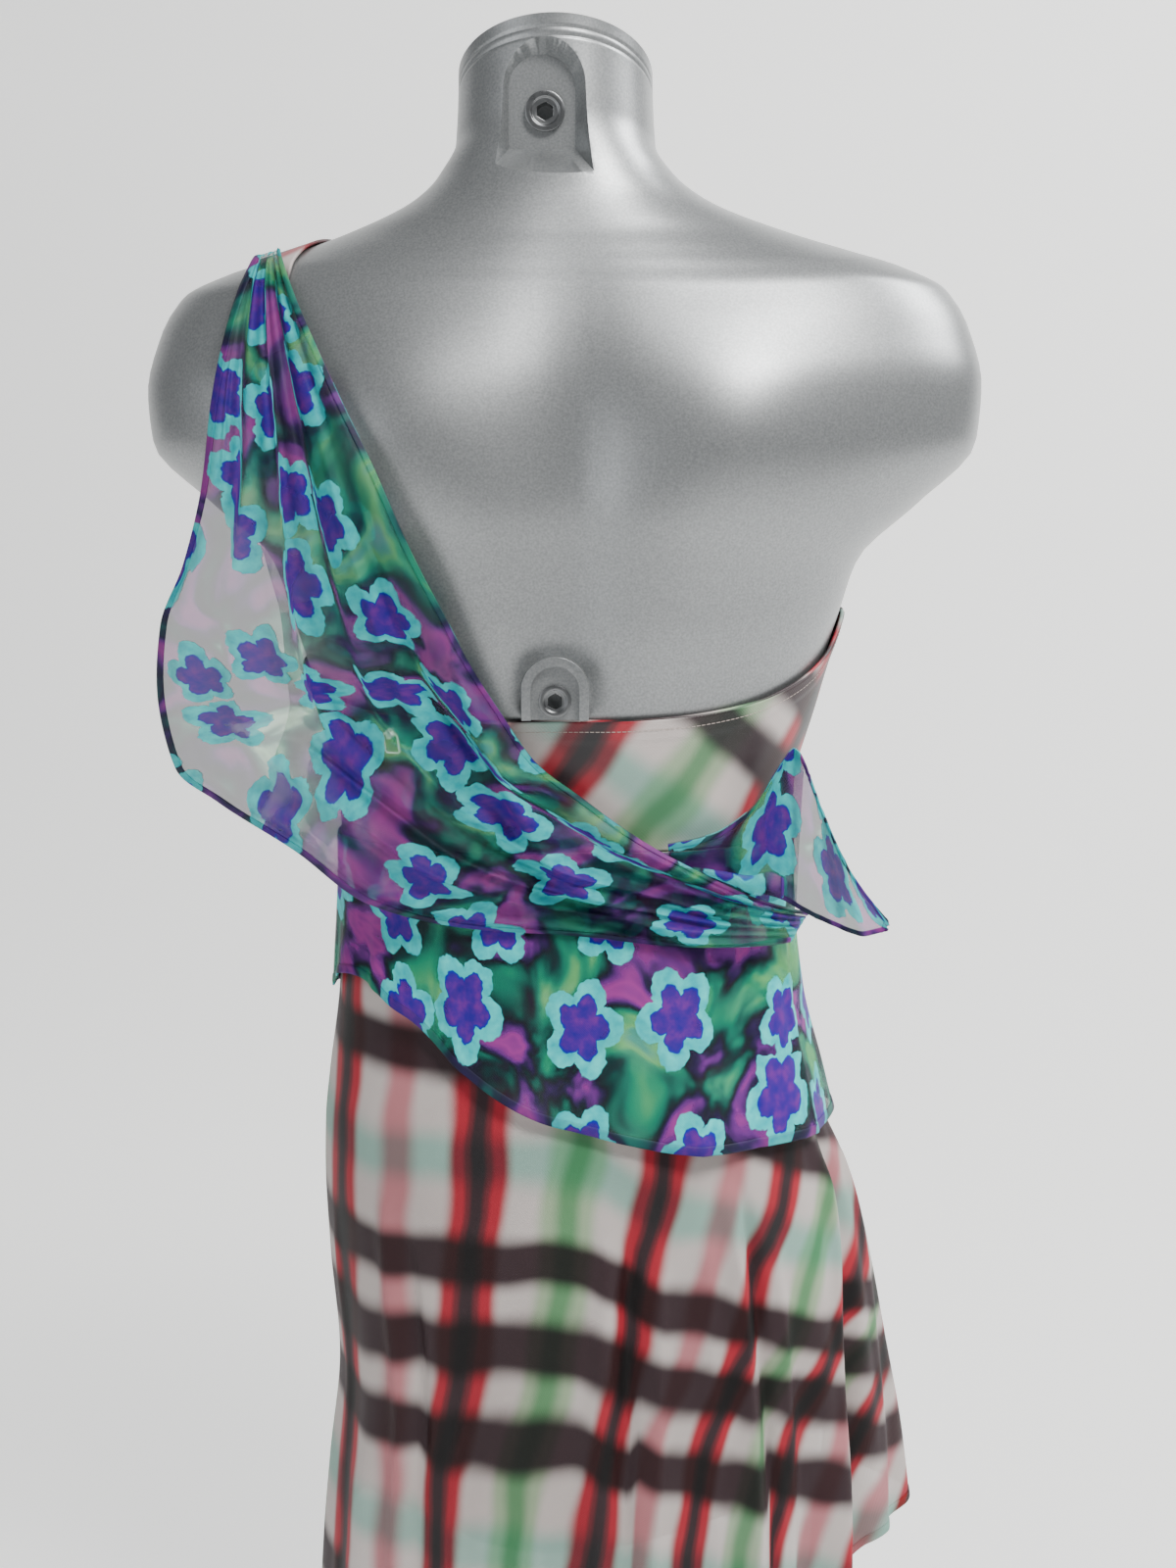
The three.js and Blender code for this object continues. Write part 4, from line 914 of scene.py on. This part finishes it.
def flower_print(material):
    """Colour of the chiffon's print, where its flowers lie and where its ground is pale."""
    at, calc = cloth_at(material), partial(math_node, material)
    vector = partial(math_node, material, kind="ShaderNodeVectorMath")
    shake = vector("SUBTRACT", noise(material, at, 260.0, 1.0, "Color"), (0.5, 0.5, 0.5))
    shaken = vector("MULTIPLY_ADD", shake, (WOBBLE, WOBBLE, 0), at)
    cells = node(material, "ShaderNodeTexVoronoi", Vector=shaken, Scale=1 / FLOWER_CELL,
                 Randomness=0.42)
    cells.voronoi_dimensions = "2D"
    local = node(material, "ShaderNodeSeparateXYZ",
                 Vector=vector("SUBTRACT", shaken, cells.outputs["Position"]))
    tint = node(material, "ShaderNodeSeparateColor", Color=cells.outputs["Color"])
    x, y = calc("MULTIPLY", local.outputs["X"], 1.18), local.outputs["Y"]
    radius = calc("SQRT", calc("ADD", calc("MULTIPLY", x, x), calc("MULTIPLY", y, y)))
    angle = calc("ADD", calc("ARCTAN2", y, x),
                 calc("MULTIPLY", tint.outputs["Red"], 2 * math.pi))
    lobe = calc("ABSOLUTE", calc("COSINE", calc("MULTIPLY", angle, 2.5)))
    size = calc("MULTIPLY_ADD", tint.outputs["Green"], 0.3, 0.85)
    petal_edge = calc("MULTIPLY", size, calc("MULTIPLY_ADD", lobe, 0.36 * FLOWER_RADIUS,
                                             0.66 * FLOWER_RADIUS))
    heart_edge = calc("MULTIPLY", petal_edge, HEART_SHARE)
    petals = step_up(material, calc("SUBTRACT", petal_edge, radius), 1500)
    rim = step_up(material, calc("SUBTRACT", heart_edge, radius), 1500)
    heart = step_up(material, calc("SUBTRACT", heart_edge, calc("ADD", radius, 0.0012)), 900)
    pool = noise(material, at, 24.0, 3.0, Roughness=0.45, Distortion=0.8)
    ground = ramp(material, pool, [
        (0.28, linear(124, 50, 136)), (0.36, linear(162, 62, 148)), (0.42, linear(104, 44, 130)),
        (0.455, linear(44, 30, 76)), (0.49, linear(24, 30, 40)), (0.52, linear(10, 58, 58)),
        (0.56, linear(14, 110, 92)), (0.61, linear(30, 154, 112)), (0.66, linear(112, 204, 122)),
        (0.71, linear(60, 170, 150))])
    wash = noise(material, at, 150.0, 3.0)
    aqua = ramp(material, wash, [(0.3, linear(16, 176, 186)), (0.7, linear(72, 220, 216))])
    violet = ramp(material, wash, [(0.32, linear(42, 16, 138)), (0.5, linear(70, 22, 140)),
                                   (0.68, linear(104, 36, 140))])
    color = mix_color(material, petals, ground, aqua)
    color = mix_color(material, rim, color, (*linear(14, 22, 160), 1))
    color = mix_color(material, heart, color, violet)
    pale = node(material, "ShaderNodeMapRange", Value=pool, in1=0.57, in2=0.66)
    return color, petals, pale.outputs["Result"]


def chiffon(name, opacity, flower_opacity, tint=None):
    """Sheer printed cloth: its cover between the flowers, and how much more they cover."""
    material = plain_material(name, (0.05, 0.3, 0.3), 0.55, slot="flower_chiffon",
                              Specular_IOR_Level=0.25)
    color, flowers, pale = flower_print(material)
    if tint:
        color = mix_color(material, tint, color, (*linear(24, 14, 56), 1))
    link(material, color, "Base Color")
    cover = math_node(material, "MULTIPLY_ADD", pale, -0.35 * opacity, opacity)
    link(material, math_node(material, "MULTIPLY_ADD", flowers, flower_opacity, cover), "Alpha")
    fine_weave(material, 1.9, 0.2)
    return material


peplum_chiffon = chiffon("peplum_chiffon", 0.64, 0.22)
hem_chiffon = chiffon("hem_chiffon", 0.93, 0.07, tint=0.45)
for side_name, start, end in HALVES:
    points, direction, z = tube_points(PEPLUM, PEPLUM_FOLDS, PEPLUM_EDGE, start, end, 221, 71,
                                       CHIFFON_CLOTH, PEPLUM_CREASES)
    length = lengths_along(points, 1)
    across = length - length[:, 110][:, None] + PRINT_APART[side_name]
    hung_half(f"peplum_{side_name}", points, np.stack([across, z], -1), peplum_chiffon,
              hem_chiffon)

# ---- Drape --------------------------------------------------------------------------
# Chiffon gathered at the left shoulder, which falls in folds across the back, stands off
# the left side as a loose pouch and is drawn to the right side of the waist.
DRAPE = table(
    "along innerX innerZ outerX outerZ",
    (0, -136, 863, -149, 860), (0.08, -123, 834, -157, 825), (0.17, -111, 810, -163, 789),
    (0.26, -99, 786, -168, 750), (0.35, -85, 758, -179, 714), (0.44, -68, 718, -193, 684),
    (0.52, -54, 690, -197, 652), (0.6, -42, 666, -190, 614), (0.67, -30, 646, -168, 598),
    (0.74, -13, 620, -131, 576), (0.81, 10, 602, -94, 550), (0.87, 38, 582, -50, 540),
    (0.92, 64, 567, 8, 536), (0.96, 90, 553, 58, 530), (1, 122, 540, 112, 527))
DRAPE_SECTION = table(
    "z left right clear",
    (520, 150, 138, 10.5), (560, 205, 138, 10.5), (600, 238, 145, 10.5), (660, 246, 160, 11.5),
    (720, 242, 180, 11), (780, 236, 230, 9), (820, 220, 220, 7), (841, 200, 200, 4.4),
    (852, 180, 178, 3.4), (858, 168, 168, 3.4), (864, 155, 155, 3.4))
DRAPE_FOLDS = table(
    "at wide start middle end",
    (0.06, 0.05, 1, 6, 5), (0.2, 0.05, 1, 3, 4), (0.36, 0.06, 1.5, 5, 4), (0.52, 0.05, 1, 6, 3),
    (0.7, 0.07, 1.5, 6, 3), (0.9, 0.06, 1, 5, 3))
# Cloth hidden in the folds, across and along
DRAPE_TUCKS = table(
    "at lean hidden down wide low high",
    (0.26, 0.12, 26, 14, 0.03, 0.0, 0.75), (0.43, 0.1, 18, -16, 0.03, 0.0, 0.66),
    (0.7, 0.05, 24, 20, 0.04, 0.0, 0.45), (0.14, 0.0, 34, 22, 0.04, 0.5, 1.1))
# Fine creases: where across the cloth, and from where to where along it
DRAPE_CREASES = table(
    "at lean wide deep low high",
    (0.12, 0.05, 0.022, -2.4, 0.0, 0.8), (0.17, 0.1, 0.018, 1.8, 0.25, 0.75),
    (0.26, 0.12, 0.028, -3.0, 0.0, 0.7), (0.31, 0.06, 0.015, 1.5, 0.4, 1.0),
    (0.43, 0.1, 0.024, 3.0, 0.0, 0.66), (0.47, -0.05, 0.014, -1.4, 0.5, 1.0),
    (0.61, -0.08, 0.018, -1.8, 0.35, 0.95), (0.66, -0.12, 0.016, 1.8, 0.5, 1.0),
    (0.7, 0.05, 0.03, -3.0, 0.0, 0.4), (0.79, -0.12, 0.022, 2.4, 0.5, 1.0),
    (0.84, 0.02, 0.02, 2.2, 0.05, 0.35), (0.95, -0.02, 0.016, -1.8, 0.45, 0.95))
# The twisted roll that crosses the cloth
ROLL = table(
    "along across high wide",
    (0.5, 0.0, 0, 0.03), (0.62, 0.05, 6, 0.035), (0.74, 0.14, 10, 0.045), (0.83, 0.3, 10, 0.06),
    (0.9, 0.52, 7, 0.08), (0.96, 0.85, 4, 0.1), (1.0, 1.0, 1, 0.1))
# The second layer of the cloth ends on this line
POUCH = table(
    "along edge",
    (0.14, 0.6), (0.2, 0.85), (0.28, 0.8), (0.36, 0.6), (0.46, 0.52), (0.56, 0.56), (0.64, 0.72),
    (0.72, 0.98), (0.9, 0.98), (0.96, 0.9))
UNDER_DROP = 2.2  # how far the second layer lies inside the first
SHEER_CLOTH, INNER_HEM, DRAPE_PRINT, UNDER_PRINT = 0.5, 3.0, 906, 1230


def free_cloth(x, z, left, right, clear, out):
    """Points over the form's back where the cloth follows a section of its own widths."""
    back, front, mid, power = read_all(FORM, "back front mid power", z)
    left, right = left + out, right + out
    half = np.where(x < 0, left, right)
    turn = np.sign(x) * np.degrees(np.arcsin(np.minimum(1, np.abs(x) / half) ** (power / 2)))
    points = on_section(left, right, back + clear + out, front, mid, power, turn, z)
    return with_relief(points, mid)


def drape_height(across, along):
    out = 0
    for at, wide, start, middle, end in zip(*DRAPE_FOLDS.values()):
        first = start + (middle - start) * ease(along / 0.5)
        high = np.where(along < 0.5, first, middle + (end - middle) * ease(along * 2 - 1))
        out = out + high * bell(across - at, wide)
    for at, lean, wide, deep, low, high in zip(*DRAPE_CREASES.values()):
        window = ease((along - low) / 0.12 + 0.4 * (low == 0)) * ease((high - along) / 0.15)
        out = out + deep * bell(across - at - lean * along, wide) * window
    roll_at, roll_high, roll_wide = read_all(ROLL, "across high wide", along, "along")
    side = (across - roll_at) / roll_wide
    roll = np.where(side > 0, bell(side, 0.75), bell(side, 1.3))
    out = out + roll_high * roll * ease((along - 0.5) / 0.08)
    return out * ease((1 - along) / 0.06 + 0.3)


def drape_points_at(across, along, out):
    inner_x, inner_z, outer_x, outer_z = read_all(DRAPE, "innerX innerZ outerX outerZ", along,
                                                  "along")
    x = inner_x + (outer_x - inner_x) * across
    z = inner_z + (outer_z - inner_z) * across
    left, right, clear = read_all(DRAPE_SECTION, "left right clear", z)
    return free_cloth(x, z, left, right, clear, drape_height(across, along) + out)


def drape_print_at(points, at, along, apart):
    """Lengths from the neckline edge, and down from the shoulder."""
    across = lengths_along(points, 1)
    down = lengths_along(points[::-1], 0)[::-1].mean(1)[:, None]
    across = across - across[:, -1:] + apart
    for place, lean, hidden, along_too, wide, low, high in zip(*DRAPE_TUCKS.values()):
        window = ease((along - low) / 0.12 + (low == 0)) * ease((high - along) / 0.15)
        share = window * ease((at - place - lean * along) / wide + 0.5)
        across, down = across - hidden * share, down + along_too * share
    return np.stack([across, 0 * across - down], -1)


def chiffon_piece(name, points, print_at, material, replaces=None, hems=()):
    """A gathered sheet with the hems on its edges: the edge and the hem's name and width."""
    piece = cloth_sheet(name, points, print_at, SHEER_CLOTH, material, replaces)
    strips = [hem_strip(hem, points, print_at, edge, hem_chiffon, width=width)
              for edge, hem, width in hems]


across = 1 - np.linspace(0, 1, 181)[None, :]
along = 1 - np.linspace(0, 1, 201)[:, None]
points = drape_points_at(across, along, CHIFFON_CLOTH)
drape_chiffon = chiffon("drape_chiffon", 0.46, 0.34, tint=0.22)
under_chiffon = chiffon("under_chiffon", 0.24, 0.16)
chiffon_piece("drape_cloth", points, drape_print_at(points, across, along, DRAPE_PRINT),
              drape_chiffon, "drape",
              [("start", "drape_outer_hem", HEM_WIDTH), ("end", "drape_inner_hem", INNER_HEM)])
along = 0.96 - 0.82 * np.linspace(0, 1, 141)[:, None]
across = read(POUCH, "edge", along, "along") * (1 - np.linspace(0, 1, 121)[None, :])
points = drape_points_at(across, along, SHEER_CLOTH - UNDER_DROP)
chiffon_piece("drape_under_cloth", points, drape_print_at(points, across, along, UNDER_PRINT),
              under_chiffon)

# ---- Drape tail ---------------------------------------------------------------------
# The short end of the drape's inner edge, which passes in front of the flounce and turns
# over in a small loop.
TAIL = table(
    "along x lowZ highZ",
    (0, 62, 568, 569.5), (0.3, 76, 562, 567), (0.6, 91, 554.5, 564), (0.85, 100, 550, 565),
    (1, 107, 552, 561))
TAIL_RIGHT, TAIL_CLEAR, TAIL_SWELL, FREE_LEFT = 152, 13.4, 2, 200
TAIL_HEM, TAIL_PRINT = 1.6, (1900, 0)
along = np.linspace(0, 1, 61)[None, :]
share = np.linspace(0, 1, 25)[:, None]
tail_x, low_z, high_z = read_all(TAIL, "x lowZ highZ", along, "along")
tail_z = low_z * (1 - share) + high_z * share
tail_out = TAIL_SWELL * np.sin(math.pi * share) * ease(along * 2) + CHIFFON_CLOTH
points = free_cloth(tail_x + 0 * tail_z, tail_z, FREE_LEFT, TAIL_RIGHT, TAIL_CLEAR, tail_out)
tail = cloth_sheet("drape_tail_cloth", points, planar_print(points) + TAIL_PRINT, SHEER_CLOTH,
                   under_chiffon, "drape_tail")
tail_hem = hem_strip("drape_tail_hem", points, planar_print(points), "end", hem_chiffon, TAIL_HEM)

# ---- Flounce ------------------------------------------------------------------------
# A loose point of the same chiffon at the right side of the waist, with a rolled hem.
FLOUNCE = table(
    "along lowX lowZ highX highZ right clear",
    (0, 52, 565, 50, 580, 138, 8.4), (0.15, 70, 557, 72, 584, 138, 8.4),
    (0.28, 85, 551, 93, 597, 138, 8), (0.35, 94, 553.5, 103, 612, 139, 8),
    (0.42, 104, 551, 112, 624, 148, 8), (0.55, 119, 543, 119, 612, 162, 7),
    (0.68, 130, 537, 126, 594, 176, 7), (0.8, 141, 533, 135, 573, 186, 7),
    (0.9, 150, 531, 147, 554, 194, 7), (1, 159, 532, 161, 537, 200, 7))
RIPPLE_FROM, RIPPLE_HIGH, RIPPLE_RATE, FLOUNCE_HEM = 0.35, 2.5, 20, 2.6
FLOUNCE_PRINT, FOLD_PRINT = (1500, 40), (1650, 20)
FLOUNCE_CREASES = table(
    "at wide deep",
    (0.16, 0.03, 1.2), (0.27, 0.025, -1.2), (0.39, 0.03, 1.8), (0.48, 0.022, -1.5),
    (0.6, 0.03, 1.6), (0.74, 0.03, -1.4), (0.86, 0.03, 1.3))


def flounce_points_at(along, share, out):
    low_x, low_z, high_x, high_z, right, clear = read_all(
        FLOUNCE, "lowX lowZ highX highZ right clear", along, "along")
    x = low_x + (high_x - low_x) * share
    z = low_z + (high_z - low_z) * share
    past = np.maximum(0, along - RIPPLE_FROM)
    ripple = RIPPLE_HIGH * (1 - np.cos(past * RIPPLE_RATE)) * ease(past / 0.2)
    for at, wide, deep in zip(*FLOUNCE_CREASES.values()):
        ripple = ripple + deep * bell(along + 0.06 * share - at, wide) * ease(along / 0.1)
    return free_cloth(x, z, FREE_LEFT, right, clear, ripple + 0 * x + out)


share = np.linspace(0, 1, 41)[:, None]
points = flounce_points_at(np.linspace(0, 1, 121)[None, :], share, CHIFFON_CLOTH)
chiffon_piece("flounce_cloth", points, planar_print(points) + FLOUNCE_PRINT, drape_chiffon,
              "flounce_right",
              [(edge, f"flounce_{edge}_hem", FLOUNCE_HEM) for edge in ("foot", "head", "end")])
points = flounce_points_at(np.linspace(0, 0.5, 61)[None, :], share, SHEER_CLOTH - UNDER_DROP)
chiffon_piece("flounce_under_cloth", points, planar_print(points) + FOLD_PRINT, under_chiffon)

# ---- Zip ----------------------------------------------------------------------------
# The slider of a concealed zip at the top of the bodice's left back, with a wire pull
# that swings out of the cloth.
ZIP_X, ZIP_Z = -83, 633
SLIDER_WIDTH, SLIDER_LONG, SLIDER_HIGH, SLIDER_PLATE, SLIDER_HOLE = 3, 9, 4.4, 1.2, 2
PULL_WIDE, PULL_LONG, PULL_WIRE, PULL_THICK, PULL_CORNER = 9, 11, 1.1, 1.0, 1.2


def zip_axes():
    """Origin and axes along the cloth, out of it and up, where the slider sits."""
    clear = BODICE_CLEAR + BODICE_CLOTH + SEAM

    def at(dx, dz):
        z = np.array(float(ZIP_Z + dz))
        half, power = read(FORM, "half", z) + clear, read(FORM, "power", z)
        turn = np.degrees(np.arcsin((abs(ZIP_X + dx) / half) ** (power / 2)))
        return Vector(on_form(-turn, z, clear).tolist())
    out = (at(2, 0) - at(-2, 0)).cross(at(0, 5) - at(0, -5)).normalized()
    along = out.cross(Vector((0, 0, 1))).normalized()
    return at(0, 0) + out * SEAM, along, out, along.cross(out)


def stand_on_zip(piece, body, replaces):
    middle, along, out, up = zip_axes()
    turn = Matrix((along, out, up)).transposed().to_4x4()
    piece.data.transform(Matrix.Translation(middle * MM) @ turn)
    smooth(piece, 40)
    finish(piece, bright_wire, replaces, body)


def box(size, middle):
    bpy.ops.mesh.primitive_cube_add(size=1)
    bpy.context.object.scale, bpy.context.object.location = metres(size), metres(middle)
    return bake_place()


# Plated zip metal that glows faintly of itself: painted light, so the slider and the pull still show
# through the drape.
bright_wire = plain_material("bright_wire", (0.78, 0.78, 0.77), 0.2, 1.0, "zip_metal",
                             Emission_Color=(0.8, 0.82, 0.84, 1), Emission_Strength=0.9)
hazed(bright_wire, 500.0, 3.0, 0.25, 0.1)
eye = SLIDER_PLATE + SLIDER_HOLE / 2
slider = box((SLIDER_WIDTH, SLIDER_HIGH, SLIDER_LONG), (0, SLIDER_HIGH / 2, 0))
slider.name = "zip_slider_body"
for face in slider.data.polygons:
    face.select = face.normal.y > 0.9
with editing(select=False):
    bpy.ops.transform.resize(value=(0.8, 1, 0.5))
use_boolean(slider, box((2 * SLIDER_WIDTH, SLIDER_HOLE, SLIDER_HOLE), (0, eye, 0)))
bevel(slider, 0.3, 3, 30)
stand_on_zip(slider, "root", "zip_slider")

bpy.ops.mesh.primitive_plane_add(size=1, rotation=(math.radians(90), 0, 0))
pull = bpy.context.object
pull.name = "zip_pull_wire"
pull.scale = ((PULL_WIDE - PULL_WIRE) * MM, (PULL_LONG - PULL_WIRE) * MM, 1)
pull.location = (0, eye * MM, -(PULL_LONG - PULL_WIRE) / 2 * MM)
bake_place()
with editing():
    bpy.ops.mesh.bevel(affect="VERTICES", offset=PULL_CORNER * MM, segments=5)
    bpy.ops.mesh.delete(type="ONLY_FACE")
bpy.ops.object.convert(target="CURVE")
pull = bpy.context.object
pull.data.bevel_depth = PULL_THICK / 2 * MM
pull.data.bevel_resolution = 4
bpy.ops.object.convert(target="MESH")
stand_on_zip(bpy.context.object, "zip_pull", "zip_pull")
